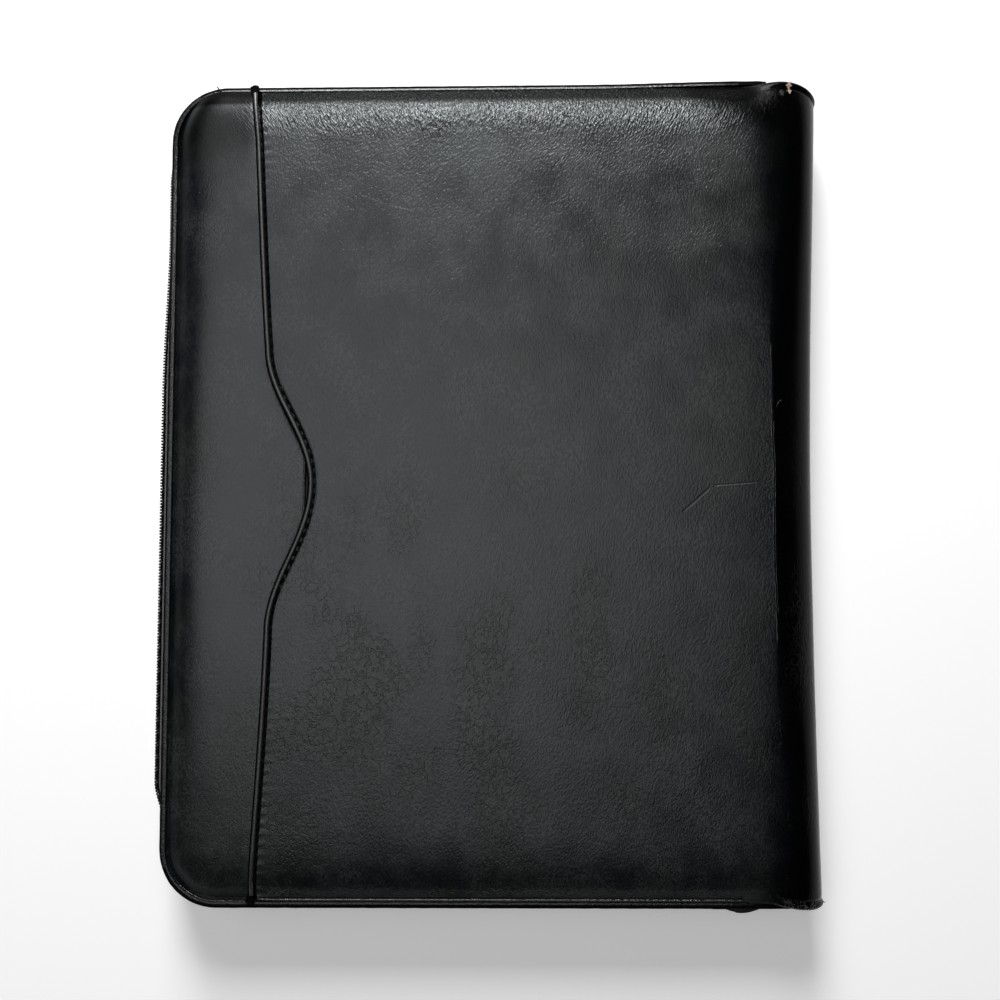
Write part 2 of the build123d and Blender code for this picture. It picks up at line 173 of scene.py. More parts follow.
# A finish: fixed values go straight on the shader, what changes over the surface comes from varied;
# second holds another shader's fixed values, mixed in by varied's Share
def newFinish(name, fixed, varied, second=None):
    made = bpy.data.materials.new(name)
    made.use_nodes = True
    tree = made.node_tree
    shaders = [tree.nodes["Principled BSDF"]]
    if second:
        shaders.append(tree.nodes.new("ShaderNodeBsdfPrincipled"))
    for shader, values in zip(shaders, (fixed, second)):
        for key, value in values.items():
            shader.inputs[key].default_value = value
    start = Paint(tree)
    metres = start.node("ShaderNodeTexCoord", out="Object")
    place = start.node("ShaderNodeVectorMath", {"operation": "SCALE"}, {0: metres, "Scale": 1000.0})
    for key, value in varied(place).items():
        if key == "Height":  # in millimetres
            value = start.node("ShaderNodeBump", None, {"Strength": 1.0, "Distance": 1.0, "Height": value * mm})
            key = "Normal"
        if key == "Share":
            glossy, matt = (Paint(tree, shader.outputs[0]) for shader in shaders)
            both = start.node("ShaderNodeMixShader", None, {0: value, 1: glossy, 2: matt})
            tree.links.new(both.socket, tree.nodes["Material Output"].inputs["Surface"])
        else:
            for shader in shaders:
                tree.links.new(value.socket, shader.inputs[key])
    return made


def coverHide(place):
    look = {
        "blue": (0.0016, 0.002, 0.0042, 1),
        "green": (0.0028, 0.0042, 0.0032, 1),
        "tops": (0.02, 0.0208, 0.0206, 1),
        # near black, painted in as shade by the spine, along the far edge and in the wrinkles' creases
        "shadeBlack": (0.0005, 0.0006, 0.0006, 1),
        "worn": (0.1, 0.1, 0.095, 1),
        "tan": (0.42, 0.3, 0.23, 1),
        "rough": 0.32,
        "spineRough": 0.2,
        "rimStreak": 0.5,  # this and the next seven are heights in millimetres
        "pebble": 0.11,
        "upperPebble": 0.05,
        "fine": 0.015,
        "speck": 0.02,
        "darkScratch": 0.1,
        "lightScratch": 0.025,
        "wrinkle": 0.05,
        "darkLines": [((86.0, -11.8), (98.6, -0.7), 0.7), ((98.4, -0.9), (117.5, 0.5), 0.45)],  # start, end, width
        "lightLines": [
            ((-45.0, 120.2), (-33.0, 115.0), 0.6),
            ((-33.5, 115.3), (-21.5, 112.5), 0.5),
            ((-74.0, 84.2), (-72.6, 82.8), 0.6),
        ],
        "tanSpots": [(133.1, 165.9, 1.3, 1.2, 1.15, 0.9), (133.4, 163.3, 1.0, 1.3, 1.1, 0.85)],
        "greySpot": (129.9, 162.4, 1.2, 1.5, 1.3, 0.3),
    }
    x, y = place.along("X"), place.along("Y")

    # Broad changes over the hide
    patch = place.clouds((0.035, 0.022, 0.035), 3.0)
    mottle = place.clouds((0.05, 0.04, 0.05), 4.0, 0.65, seed=21.0).rise(0.36, 0.64)  # wear in soft blots
    bent = (place.clouds((0.035, 0.035, 0.035), 1.0, seed=11.0) - 0.5) * 12.0
    upper, lower = y.rise(20.0, 150.0), y.rise(50.0, -70.0)
    calm = 1.0 - x.rise(-72.0, -92.0) * 0.55  # the fore panel's hide is smoother
    worked = x.rise(112.0, 125.0)  # the spine is polished by hands
    rim = y.rise(140.0, 154.0) * x.rise(122.0, 100.0) * x.rise(-105.0, -70.0)  # turned over the padding

    # Grain
    slant = (y - 155.0) * (0.11 - x * 0.006) + bent * 0.3  # one way, then the other
    streak = place.shifted(slant).clouds((1.4, 0.38, 1.4), 1.0)
    pebble = place.shifted(bent - y * 0.25).clouds((1.8, 0.9, 1.8), 1.0, seed=7.0)
    fine = place.clouds((5.0, 4.0, 5.0), 2.0, seed=4.0)
    speck = place.clouds((0.9, 0.9, 0.9), 1.0, seed=9.0).rise(0.76, 0.8)
    # Wrinkle lines, sunk in the bump; their creases are also painted darker as painted shade, more so towards the near
    # end
    wrinkle = abs(place.clouds((0.3, 0.2, 0.3), 3.0, 0.62, seed=31.0) - 0.5).rise(0.05, 0.0)
    wrinkle = wrinkle * (0.35 + lower * 0.65) * patch.rise(0.4, 0.6)

    # Painted shade: the colour darkens to near black and the reflection dulls at once along the worn crease, gently
    # elsewhere by the spine, along the far edge and at the fore end's far corner, on the upper half
    gentle = abs(y + 3.0).rise(45.0, 90.0)
    farSpine = y.rise(142.0, 160.0) * x.rise(86.0, 108.0)
    foreEnd = x.rise(-86.0, -93.0) * y.rise(120.0, 150.0)
    paintedShade = x.rise(90.0, 123.0) * 0.34 + x.rise(123.0 - gentle * 9.0, 124.4 + gentle * 11.0) * 0.66
    paintedShade = paintedShade + y.rise(158.8, 162.4) * 0.8 + farSpine * 0.7 + foreEnd * 0.55
    paintedShade = paintedShade.rise(-0.06, 1.06) * place.along("Z").rise(13.0, 21.0)

    # Scratches, and spots rubbed through the finish
    dark = sum(place.scratch(*line) for line in look["darkLines"])
    light = sum(place.scratch(*line) for line in look["lightLines"])
    torn = place.clouds((1.1, 1.1, 1.1), 2.0, 0.6, seed=2.0) * 3.0 - 1.5

    def spot(atX, atY, wide, tall, edge, full):
        return (abs(x - atX) / wide + abs(y - atY) / tall + torn).rise(edge, full)

    colour = patch.rise(0.35, 0.65).mixed(look["blue"], look["green"])
    colour = (pebble.rise(0.4, 0.6) * mottle * (1.0 - paintedShade)).mixed(colour, look["tops"])
    # painted shade: darkened to near black by the spine, the crease and the far edge, and in the wrinkles' creases
    colour = (paintedShade * 0.9 + wrinkle * 0.6).mixed(colour, look["shadeBlack"])
    colour = (light * 0.1).mixed(colour, look["worn"])
    colour = (spot(*look["greySpot"]) * 0.5).mixed(colour, look["worn"])
    colour = sum(spot(*bare) for bare in look["tanSpots"]).mixed(colour, look["tan"])
    rough = look["rough"] + (look["spineRough"] - look["rough"]) * worked
    rough = rough + (patch - 0.5) * 0.12 + (mottle - 0.5) * 0.06 + (fine - 0.5) * 0.1
    rough = rough - (streak - 0.5) * (0.3 * rim) + speck * 0.15 + dark * 0.2
    pebbled = (look["pebble"] + look["upperPebble"] * upper) * (1.0 - paintedShade * 0.8) * calm
    height = streak * (look["rimStreak"] * rim) + pebble * pebbled + fine * look["fine"] - speck * look["speck"]
    height = height - dark * look["darkScratch"] + light * look["lightScratch"] - wrinkle * calm * look["wrinkle"]
    return {"Base Color": colour, "Roughness": rough, "Height": height, "Share": paintedShade}


def bindingHide(place):
    look = {"deep": (0.002, 0.0022, 0.0026, 1), "pale": (0.006, 0.0062, 0.0065, 1), "rough": 0.28}
    x, y = place.along("X"), place.along("Y")
    patch = place.clouds((0.12, 0.12, 0.12), 3.0)
    crease = place.clouds((1.3, 1.3, 1.3), 2.0, 0.6, 0.3)
    fine = place.clouds((4.0, 4.0, 4.0), 2.0, seed=3.0)
    foreCorner, bySpine = x.rise(-98.0, -112.0) * y.rise(120.0, 150.0), x.rise(96.0, 114.0)
    return {
        "Base Color": patch.mixed(look["deep"], look["pale"]),
        "Roughness": look["rough"] + (patch - 0.5) * 0.15 + (fine - 0.5) * 0.12,
        "Height": crease * 0.25 + fine * 0.012,
        "Share": foreCorner * 0.8 + bySpine * 0.9,  # duller there
    }


def blackMetal(place):
    look = {"paint": (0.012, 0.012, 0.013, 1), "bare": (0.25, 0.24, 0.23, 1)}
    cast = place.clouds((0.8, 0.8, 0.8), 3.0)
    chip = place.clouds((0.45, 0.45, 0.45), 4.0, 0.65, seed=6.0).rise(0.64, 0.7)
    return {
        "Base Color": chip.mixed(look["paint"], look["bare"]),
        "Metallic": chip * 0.9,
        "Roughness": 0.34 + (cast - 0.5) * 0.2,
        "Height": cast * 0.02 - chip * 0.02,
    }


def weave(thread, deep, pale):  # crossing threads, thread in millimetres
    def varied(place):
        x, y, z = place.along("X"), place.along("Y"), place.along("Z")
        warp = (x + z).maths("SINE", (x + z) * (math.pi / thread))
        weft = y.maths("SINE", y * (math.pi / thread))
        cross = warp * weft
        fuzz = place.clouds((1.2, 1.2, 1.2), 3.0)
        return {
            "Base Color": (cross * 0.25 + 0.5 * fuzz + 0.25).mixed(deep, pale),
            "Roughness": 0.8 + (fuzz - 0.5) * 0.2,
            "Height": cross * 0.04 + fuzz * 0.03,
        }

    return varied


def flakeDust(place):
    dust = place.clouds((1.4, 0.5, 1.4), 3.0, 0.6)
    return {
        "Base Color": dust.rise(0.42, 0.58).mixed((0.008, 0.008, 0.008, 1), (0.075, 0.072, 0.066, 1)),
        "Roughness": 0.7 + (dust - 0.5) * 0.3,
    }


def organiserHide(place):
    look = {"deep": (0.004, 0.004, 0.0045, 1), "pale": (0.009, 0.009, 0.0095, 1), "rough": 0.42}
    patch = place.clouds((0.05, 0.05, 0.05), 3.0)
    pebble = place.cells((1.1, 1.1, 1.1))
    fine = place.clouds((4.0, 4.0, 4.0), 2.0, seed=5.0)
    return {
        "Base Color": patch.mixed(look["deep"], look["pale"]),
        "Roughness": look["rough"] + (patch - 0.5) * 0.15 + (fine - 0.5) * 0.1,
        "Height": pebble * 0.06 + fine * 0.015,
    }


def ruledSheet(place):
    look = {
        "paper": (0.83, 0.81, 0.74, 1),
        "line": (0.42, 0.52, 0.66, 1),
        "margin": (0.68, 0.3, 0.3, 1),
        "step": 7.1,
        "headY": -124.0,
        "marginX": -84.0,
    }
    x, y = place.along("X"), place.along("Y")
    fibre = place.clouds((2.0, 2.0, 2.0), 4.0)
    row = y.maths("PINGPONG", y + 3.0, look["step"] / 2)  # zero on each ruled line
    ruled = row.rise(0.16, 0.08) * y.rise(look["headY"], look["headY"] + 1.0)
    colour = ruled.mixed(look["paper"], look["line"])
    colour = abs(x - look["marginX"]).rise(0.2, 0.1).mixed(colour, look["margin"])
    return {"Base Color": colour, "Roughness": 0.85 + (fibre - 0.5) * 0.1, "Height": fibre * 0.012}


def elasticRib(place):
    look = {"deep": (0.006, 0.006, 0.006, 1), "pale": (0.022, 0.022, 0.023, 1), "rib": 1.1}
    y = place.along("Y")
    rib = y.maths("SINE", y * (2 * math.pi / look["rib"]))
    fuzz = place.clouds((2.2, 2.2, 2.2), 3.0)
    return {
        "Base Color": (rib * 0.3 + 0.2 + fuzz * 0.5).mixed(look["deep"], look["pale"]),
        "Roughness": 0.75 + (fuzz - 0.5) * 0.2,
        "Height": rib * 0.07 + fuzz * 0.03,
    }


# Plain finishes, in each of which one noise changes colour, roughness and height
plainLooks = {
    # Painted highlight: a copy of the binding leather with a lighter colour and more shine, for the mouth's hem, as if
    # more lit
    "litHemLeather": {
        "noise": ((0.9, 0.9, 0.9), 2.0, 0.6),  # waves per millimetre, detail, brokenness
        "colours": ((0.006, 0.006, 0.0065, 1), (0.02, 0.02, 0.0205, 1)),
        "rough": (0.42, 0.2),  # its middle and its change
        "height": 0.1,
        "shine": 1.0,
    },
    # Painted shade: a darker, duller copy of the binding leather, for the sides that lie in shade
    "shadedBindingFlank": {
        "noise": ((0.3, 0.3, 0.3), 3.0, 0.5),
        "colours": ((0.001, 0.001, 0.0012, 1), (0.003, 0.003, 0.0034, 1)),
        "rough": (0.75, 0.2),
        "height": 0.05,
        "shine": 0.03,
    },
    "cardBoard": {
        "noise": ((1.5, 0.25, 1.5), 4.0, 0.5),
        "colours": ((0.19, 0.145, 0.1, 1), (0.3, 0.24, 0.17, 1)),
        "rough": (0.85, 0.15),
        "height": 0.03,
        "shine": 0.2,
    },
    "paperEdge": {
        "noise": ((0.06, 0.06, 9.0), 2.0, 0.6),
        "colours": ((0.62, 0.6, 0.53, 1), (0.86, 0.84, 0.78, 1)),
        "rough": (0.88, 0.1),
        "height": 0.08,
        "shine": 0.2,
    },
    "headerTape": {
        "noise": ((0.5, 2.6, 2.6), 3.0, 0.6),
        "colours": ((0.03, 0.012, 0.01, 1), (0.055, 0.022, 0.018, 1)),
        "rough": (0.6, 0.2),
        "height": 0.05,
        "shine": 0.5,
    },
    "coilNylon": {
        "noise": ((0.6, 0.6, 0.6), 2.0, 0.5),
        "colours": ((0.002, 0.002, 0.0024, 1), (0.006, 0.006, 0.0065, 1)),
        "rough": (0.45, 0.2),
        "height": 0.0,
        "shine": 0.15,
    },
    "thread": {
        "noise": ((3.0, 3.0, 3.0), 2.0, 0.5),
        "colours": ((0.005, 0.005, 0.005, 1), (0.022, 0.022, 0.021, 1)),
        "rough": (0.6, 0.2),
        "height": 0.0,
        "shine": 0.2,
    },
}


def plainHide(look):
    def varied(place):
        tone = place.clouds(*look["noise"])
        middle, change = look["rough"]
        values = {"Base Color": tone.mixed(*look["colours"]), "Roughness": middle + (tone - 0.5) * change}
        if look["height"]:
            values["Height"] = tone * look["height"]
        return values

    return varied


shine = "Specular IOR Level"
coolShine = {"Specular Tint": (0.93, 0.98, 1.0, 1), shine: 0.62}
liningWeave = weave(0.5, (0.006, 0.006, 0.007, 1), (0.02, 0.02, 0.022, 1))
tapeWeave = weave(0.42, (0.01, 0.01, 0.0105, 1), (0.03, 0.03, 0.029, 1))
finishes = {name: newFinish(name, {shine: look["shine"]}, plainHide(look)) for name, look in plainLooks.items()}
for name, *values in (
    ("coverLeather", coolShine, coverHide, {shine: 0.05}),
    ("bindingLeather", {shine: 0.7}, bindingHide, {shine: 0.12}),
    ("organiserLeather", {}, organiserHide),
    ("ruledPaper", {shine: 0.2}, ruledSheet),
    ("elastic", {"Sheen Weight": 0.2}, elasticRib),
    ("blackMetal", {}, blackMetal),
    ("liningFabric", {"Sheen Weight": 0.15}, liningWeave),
    ("tapeFabric", {"Sheen Weight": 0.1}, tapeWeave),
    ("flake", {}, flakeDust),
):
    finishes[name] = newFinish(name, *values)
print("finishes made:", len(finishes))


def smooth(value, low, high):  # 0 at low, 1 at high
    share = min(1.0, max(0.0, (value - low) / (high - low)))
    return share * share * (3 - 2 * share)


def ridge(value, at, width):  # 1 at one place, falling off to both sides
    return math.exp(-(((value - at) / width) ** 2))


def wave(x, y, size, seed):
    return noise.noise(Vector((x / size, y / size, seed)))


def spread(v):  # from -1 to 1, with rows closer together at both ends
    return 0.3 * (2 * v - 1) + 0.7 * math.sin(math.pi * (v - 0.5))


def edgeDistance(x, y):  # from the cover's outline inwards; the spine side has no edge
    r, toFore, toEnd = cover["corner"], x - cover["foreX"], cover["half"] - abs(y)
    if toFore < r and toEnd < r:
        return r - math.hypot(r - toFore, r - toEnd)
    return min(toFore, toEnd)


def coverHeight(x, y, top, form=cover):  # padded leather, rolled down to the bead along the free edges
    inside = edgeDistance(x, y)
    slope, start, reach = form["rollSlope"], form["rollFrom"], form["rollReach"]
    foot, wall = cover["wallFoot"], cover["wallTop"]
    held = 1 - 0.5 * smooth(x, *cover["heldX"])
    padded = slope * (max(0.0, start - max(inside, foot)) + reach * math.exp(min(0.0, start - inside) / reach))
    lowest = slope * (start - foot + reach)
    roll = held * (padded + max(0.0, top - form["footZ"] - lowest) * (1 - smooth(inside, foot, wall)))
    broad, narrow = cover["wrinkleSizes"]
    soft = cover["wrinkle"] * (wave(x, y, broad, 3.1) + 0.5 * wave(x, y, narrow, 7.7))
    rim = cover["rimPucker"] * math.exp(-inside / cover["rimReach"]) * wave(x, y, cover["rimSize"], 5.2) * held
    return top - roll + soft + rim


def rimLength(endX):
    straight, corner = endX - cover["foreX"] - cover["corner"], cover["corner"]
    return 2 * straight + math.pi * corner + 2 * (cover["half"] - corner)


def rimPoint(along, endX, out):  # along the outline from the spine, round the fore edge and back, set outwards by out
    r, half, foreX = cover["corner"], cover["half"], cover["foreX"]
    run, bend, drop = endX - foreX - r, math.pi / 2 * r, 2 * (half - r)
    if along < run:
        at, way = Vector((endX - along, half, 0)), Vector((0, 1, 0))
    elif along < run + bend:
        turn = (along - run) / r
        way = Vector((-math.sin(turn), math.cos(turn), 0))
        at = Vector((foreX + r, half - r, 0)) + way * r
    elif along < run + bend + drop:
        at, way = Vector((foreX, half - r - (along - run - bend), 0)), Vector((-1, 0, 0))
    elif along < run + 2 * bend + drop:
        turn = (along - run - bend - drop) / r
        way = Vector((-math.cos(turn), -math.sin(turn), 0))
        at = Vector((foreX + r, r - half, 0)) + way * r
    else:
        at, way = Vector((foreX + r + along - run - 2 * bend - drop, -half, 0)), Vector((0, -1, 0))
    return at + way * out, way


def warpedGrid(columns, rows, place):  # a grid whose points go where place(u, v) puts them, u and v from 0 to 1
    mesh = bmesh.new()
    bmesh.ops.create_grid(mesh, x_segments=columns, y_segments=rows, size=0.5)
    for vertex in mesh.verts:
        vertex.co = place(vertex.co.x + 0.5, vertex.co.y + 0.5)
    mesh.normal_update()
    mesh.faces.ensure_lookup_table()
    return mesh


def thicken(mesh, depth):  # a wall behind the mesh's faces
    bmesh.ops.solidify(mesh, geom=mesh.faces[:], thickness=depth)
    return mesh


def tubeMesh(points, sides):  # a round run through points, each with its own radius
    line = bpy.data.curves.new("run", "CURVE")
    line.dimensions, line.bevel_depth, line.bevel_resolution, line.use_fill_caps = "3D", 1.0, sides, True
    spline = line.splines.new("POLY")
    spline.points.add(len(points) - 1)
    for point, (co, radius) in zip(spline.points, points):
        point.co, point.radius = (*co, 1.0), radius
    holder = bpy.data.objects.new("run", line)
    scene.collection.objects.link(holder)
    data = bpy.data.meshes.new_from_object(holder)
    bpy.data.objects.remove(holder)
    mesh = bmesh.new()
    mesh.from_mesh(data)
    bmesh.ops.remove_doubles(mesh, verts=mesh.verts[:], dist=1e-7)
    bmesh.ops.recalc_face_normals(mesh, faces=mesh.faces[:])
    return mesh


# A closed profile of (aside, up) carried along path points of (place, aside, size, turn)
def sweptMesh(path, profile):
    def place(u, v):
        at, aside, size, turn = path[round(v * (len(path) - 1))]
        out, up = profile[round(u * len(profile)) % len(profile)]
        lean, rise = math.sin(turn), math.cos(turn)
        return at + (aside * (out * rise - up * lean) + Vector((0, 0, out * lean + up * rise))) * size

    mesh = warpedGrid(len(profile), len(path) - 1, place)
    bmesh.ops.remove_doubles(mesh, verts=mesh.verts[:], dist=1e-7)
    bmesh.ops.holes_fill(mesh, edges=[edge for edge in mesh.edges if edge.is_boundary])
    bmesh.ops.recalc_face_normals(mesh, faces=mesh.faces[:])
    return mesh


def addPiece(name, mesh, looks, slot, body=None, sharp=45):
    data = bpy.data.meshes.new(name)
    mesh.to_mesh(data)
    mesh.free()
    data.shade_smooth()
    data.set_sharp_from_angle(angle=math.radians(sharp))
    for look in looks:
        data.materials.append(finishes[look])
    piece = bpy.data.objects.new(name, data)
    scene.collection.objects.link(piece)
    if body:
        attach(piece, body)
    return piece


def addStitches(name, places, length, radius, look, slot, body=None):  # places are (point, direction, up)
    mesh = bmesh.new()
    size = Matrix.Diagonal((length / 2, radius, radius, 1))
    for at, way, up in places:
        side = way.cross(up).normalized()
        turn = Matrix((way, side, up)).transposed().to_4x4()
        bmesh.ops.create_icosphere(mesh, subdivisions=1, radius=1, matrix=Matrix.Translation(at) @ turn @ size)
    return addPiece(name, mesh, [look], slot, body)


# The pocket's wavy mouth
mouth = {
    "upper": {"span": 56 * mm, "shoulder": 41.7 * mm, "end": 35.0 * mm, "bend": 0.85},
    "lower": {"span": 60 * mm, "shoulder": 42.5 * mm, "end": 35.6 * mm, "bend": 1.25},
    "peak": 59.8 * mm,
    "peakY": 0.5 * mm,
    "runOut": 179 * mm,
    "lastBend": 1.3 * mm,  # towards the fore edge at the far end
    "lastY": (140 * mm, 169 * mm),
    "steps": 200,  # millimetres each way over which the mouth's length is counted
    "hemRadius": 0.85 * mm,
    "hemCentre": 1.25 * mm,
    "grooveAt": 2.55 * mm,
    "grooveDepth": 1.8 * mm,
    "grooveReach": 0.5 * mm,
    "dip": 0.3 * mm,
    "dipReach": 6 * mm,
    "pucker": 0.22 * mm,
    "puckerAt": 0.8 * mm,
    "puckerReach": 1.8 * mm,
    "pitch": 4.1 * mm,
}


def mouthX(y):
    rise = abs(y - mouth["peakY"])
    side = mouth["upper"] if y > mouth["peakY"] else mouth["lower"]
    shoulderX = cover["foreX"] + side["shoulder"]
    if rise < side["span"]:
        share = 0.5 + 0.5 * math.cos(math.pi * rise / side["span"])
        return shoulderX + (mouth["peak"] - side["shoulder"]) * share
    share = (rise - side["span"]) / (mouth["runOut"] - side["span"])
    last = mouth["lastBend"] * smooth(y, *mouth["lastY"])
    return shoulderX + (side["end"] - side["shoulder"]) * share ** side["bend"] - last


def mouthSlope(y):
    return (mouthX(y + mm) - mouthX(y - mm)) / (2 * mm)


def mouthStretch(y):  # length along the mouth for each unit of y
    return math.hypot(1, mouthSlope(y))


def mouthOff(x, y):  # distance from the mouth's line
    return (x - mouthX(y)) / mouthStretch(y)


mouthRun = [0.0]  # length along the mouth at each millimetre from its lower end
while len(mouthRun) < 2 * mouth["steps"]:
    y = (len(mouthRun) - 0.5 - mouth["steps"]) * mm
    mouthRun.append(mouthRun[-1] + mm * mouthStretch(y))


def runAt(y):
    step = y / mm + mouth["steps"]
    low = int(step)
    return mouthRun[low] + (mouthRun[low + 1] - mouthRun[low]) * (step - low)


def pocketHeight(x, y):
    off = mouthOff(x, y) - mouth["grooveAt"]
    groove = mouth["grooveDepth"] * ridge(max(0.0, off), 0.0, mouth["grooveReach"])
    dip = mouth["dip"] * math.exp(-max(0.0, off) / mouth["dipReach"])
    beat = math.cos(2 * math.pi * runAt(y) / mouth["pitch"])
    pucker = mouth["pucker"] * beat * math.exp(-abs(off - mouth["puckerAt"]) / mouth["puckerReach"])
    return coverHeight(x, y, cover["topZ"]) - groove - dip + pucker


# Front cover's pocket panel, padded
pocket = {"columns": 96, "rows": 250, "start": 0.9 * mm, "dense": 0.3}


def pocketPoint(u, v):
    y = spread(v) * (cover["half"] - cover["skinInset"])
    low = mouthX(y) + pocket["start"] * mouthStretch(y)
    x = low + (cover["seamX"] - low) * (pocket["dense"] * u + (1 - pocket["dense"]) * u * u)
    return Vector((x, y, pocketHeight(x, y)))


mesh = thicken(warpedGrid(pocket["columns"], pocket["rows"], pocketPoint), cover["skinDepth"])
frontPanel = addPiece("frontPanel", mesh, ["coverLeather"], "cover_leather", "front_cover")
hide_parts("front_pocket_panel", "front_foam")
print("pocket panel made:", len(frontPanel.data.polygons), "faces")


# A skin with the two round fore-edge corners: columns follow the corners, rows run along the cover
def cornerGrid(columns, rows, inset, endX, height):
    r, half, startX = cover["corner"] - inset, cover["half"] - inset, cover["foreX"] + inset
    bend = 0.45  # share of the columns that lie in the corners

    def place(u, v):
        if u < bend:
            turn = math.pi / 2 * u / bend
            x, reach = startX + r * (1 - math.cos(turn)), half - r + r * math.sin(turn)
        else:
            x, reach = startX + r + (endX - startX - r) * (u - bend) / (1 - bend), half
        y = spread(v) * reach
        return Vector((x, y, height(x, y)))

    return warpedGrid(columns, rows, place)


# Fore panel beside the pocket's mouth, whose straight end shows in the mouth's bay
fore = {
    "columns": 70,
    "rows": 230,
    "sag": 0.9 * mm,  # towards the mouth, in its bay alone
    "sagReach": 5 * mm,
    "bayY": 20 * mm,
    "bayFade": (25 * mm, 75 * mm),
    "under": 2.4 * mm,
    "underFrom": (0.2 * mm, 2.5 * mm),
    "hem": 0.55 * mm,
    "hemIn": 0.2 * mm,
    "hemSit": 0.15 * mm,
    "hemHalf": 34,  # millimetres
    "farY": (125 * mm, 158 * mm),  # less padding here, so the far end turns down later
    "farX": (-124 * mm, -108 * mm),
    "rollSlope": 0.5,
    "rollFrom": 4.2 * mm,
    "rollReach": 4.8 * mm,
    "footZ": cover["footZ"] + 1.0 * mm,
}


def foreTop(x, y):
    share = smooth(y, *fore["farY"]) * smooth(x, *fore["farX"])
    early, late = (coverHeight(x, y, cover["foreTopZ"], form) for form in (cover, fore))
    return early * (1 - share) + late * share


def foreHeight(x, y):
    off = x - mouthX(y)
    bay = 1 - smooth(abs(y - fore["bayY"]), *fore["bayFade"])
    sag = fore["sag"] * math.exp(min(0.0, off) / fore["sagReach"]) * bay
    return foreTop(x, y) - sag - fore["under"] * smooth(off, *fore["underFrom"])


mesh = cornerGrid(fore["columns"], fore["rows"], cover["skinInset"], foreHigh.x, foreHeight)
forePanel = addPiece("forePanel", thicken(mesh, cover["skinDepth"]), ["coverLeather"], "cover_leather", "front_cover")
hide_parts("fore_panel")
run, x = [], foreHigh.x - fore["hemIn"]
for step in range(fore["hemHalf"], -fore["hemHalf"] - 1, -1):
    y = step * mm
    radius = fore["hem"] * (1 + 0.06 * wave(0, y, 4 * mm, 2.2))
    run.append(((x, y, foreHeight(x, y) + fore["hemSit"]), radius))
addPiece("foreHem", tubeMesh(run, 3), ["bindingLeather"], "binding_leather", "front_cover")


# Rolled hem of the pocket's mouth, with a knob at each end where it is sewn into the binding
hem = {
    "step": 1.2 * mm,
    "sit": 0.7 * mm,
    "ragged": 0.07,
    "endGap": 0.6 * mm,
    "knob": 1.6,
    "knobFrom": (163 * mm, 166.5 * mm),
    "shadeSide": -0.75,  # the outer side, in radii, and the ends, turned under, get the dark flank finish as painted shade
    "shadeEnd": 164.5 * mm,
    "profile": [
        (-1.75, -0.4), (-1.6, 0.1), (-1.0, 0.3), (-0.65, 0.8), (0, 0.92),
        (0.55, 0.82), (0.9, 0.4), (1, -0.3), (0.5, -0.9), (-1.2, -0.9),
    ],
}


def hemPath():
    points = []
    y = cover["half"] - hem["endGap"]
    while y > -cover["half"] + hem["endGap"]:
        x = mouthX(y) + mouth["hemCentre"] * mouthStretch(y)
        z = max(foreTop(x, y) + hem["sit"], beadHigh.z - 0.1 * mm)
        knob = (hem["knob"] - 1) * smooth(abs(y), *hem["knobFrom"])
        thick = mouth["hemRadius"] * (1 + hem["ragged"] * wave(x, y, 5 * mm, 1.4) + knob)
        points.append((Vector((x, y, z)), Vector((1, -mouthSlope(y), 0)).normalized(), thick, 0.0))
        y -= hem["step"]
    return points


mesh = sweptMesh(hemPath(), hem["profile"])
# Faces on the hem's outer side and turned-under ends take the flank finish: painted shade
for face in mesh.faces:
    at = face.calc_center_median()
    aside = mouthOff(at.x, at.y) - mouth["hemCentre"]
    paintedShade = aside < hem["shadeSide"] * mouth["hemRadius"] or abs(at.y) > hem["shadeEnd"]
    face.material_index = 1 if paintedShade else 0
mouthHem = addPiece("mouthHem", mesh, ["litHemLeather", "shadedBindingFlank"], "binding_leather", "front_cover")
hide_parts("pocket_mouth_hem")

# Black stitches in the groove beside the hem, one in each dip of the puckered leather, in the dark flank finish that
# paints the groove's shade
dash = {"off": 2.75 * mm, "sunk": 0.45 * mm, "length": 3.0 * mm, "radius": 0.55 * mm, "clear": 6 * mm}
places = []
y = -cover["half"] + dash["clear"]
count = math.ceil(runAt(y) / mouth["pitch"]) + 0.5
while y < cover["half"] - dash["clear"]:
    slope, stretch = mouthSlope(y), mouthStretch(y)
    y += (count * mouth["pitch"] - runAt(y)) / stretch
    x = mouthX(y) + dash["off"] * stretch
    at = Vector((x, y, coverHeight(x, y, cover["topZ"]) - dash["sunk"]))
    places.append((at, Vector((slope, 1, 0)).normalized(), Vector((0, 0, 1))))
    count += 1
addStitches("mouthStitches", places, dash["length"], dash["radius"], "shadedBindingFlank", "binding_leather", "front_cover")
print("fore panel and mouth hem made:", len(places), "stitches")


# Bindings: a rolled bead round the three free edges of each cover
bead = {
    "step": 1.3 * mm,
    "taper": 3 * mm,
    "ragged": 0.08,
    "nearOut": 0.5 * mm,  # the bead stands a little outside the straight outline along the near side
    "farOut": 0.9 * mm,  # and at the far side by the spine
    "farX": (50 * mm, 112 * mm),
    "flank": 1.15 * mm,  # the outer side of the bead, measured in from the outline, painted in shade with the dark flank finish
    "nearFlank": 0.35 * mm,  # more of it along the near side
    "shadeFrom": 113 * mm,
    "foreTurn": 11.0,  # degrees the bead is turned up along the fore and near sides
    "nearTurn": 16.0,
    "profile": [
        (-2.1, -0.45), (-1.25, -0.2), (-1.22, 0.7), (-0.95, 1.08), (-0.3, 0.96), (0.3, 0.83),
        (0.75, 0.55), (1, 0.05), (0.85, -0.65), (0.2, -1), (-0.8, -0.9),
    ],
}


def endShare(y):  # 0 where the far side's corner starts, 1 along that side
    return smooth(y, cover["half"] - cover["corner"], cover["half"] - 5 * mm)


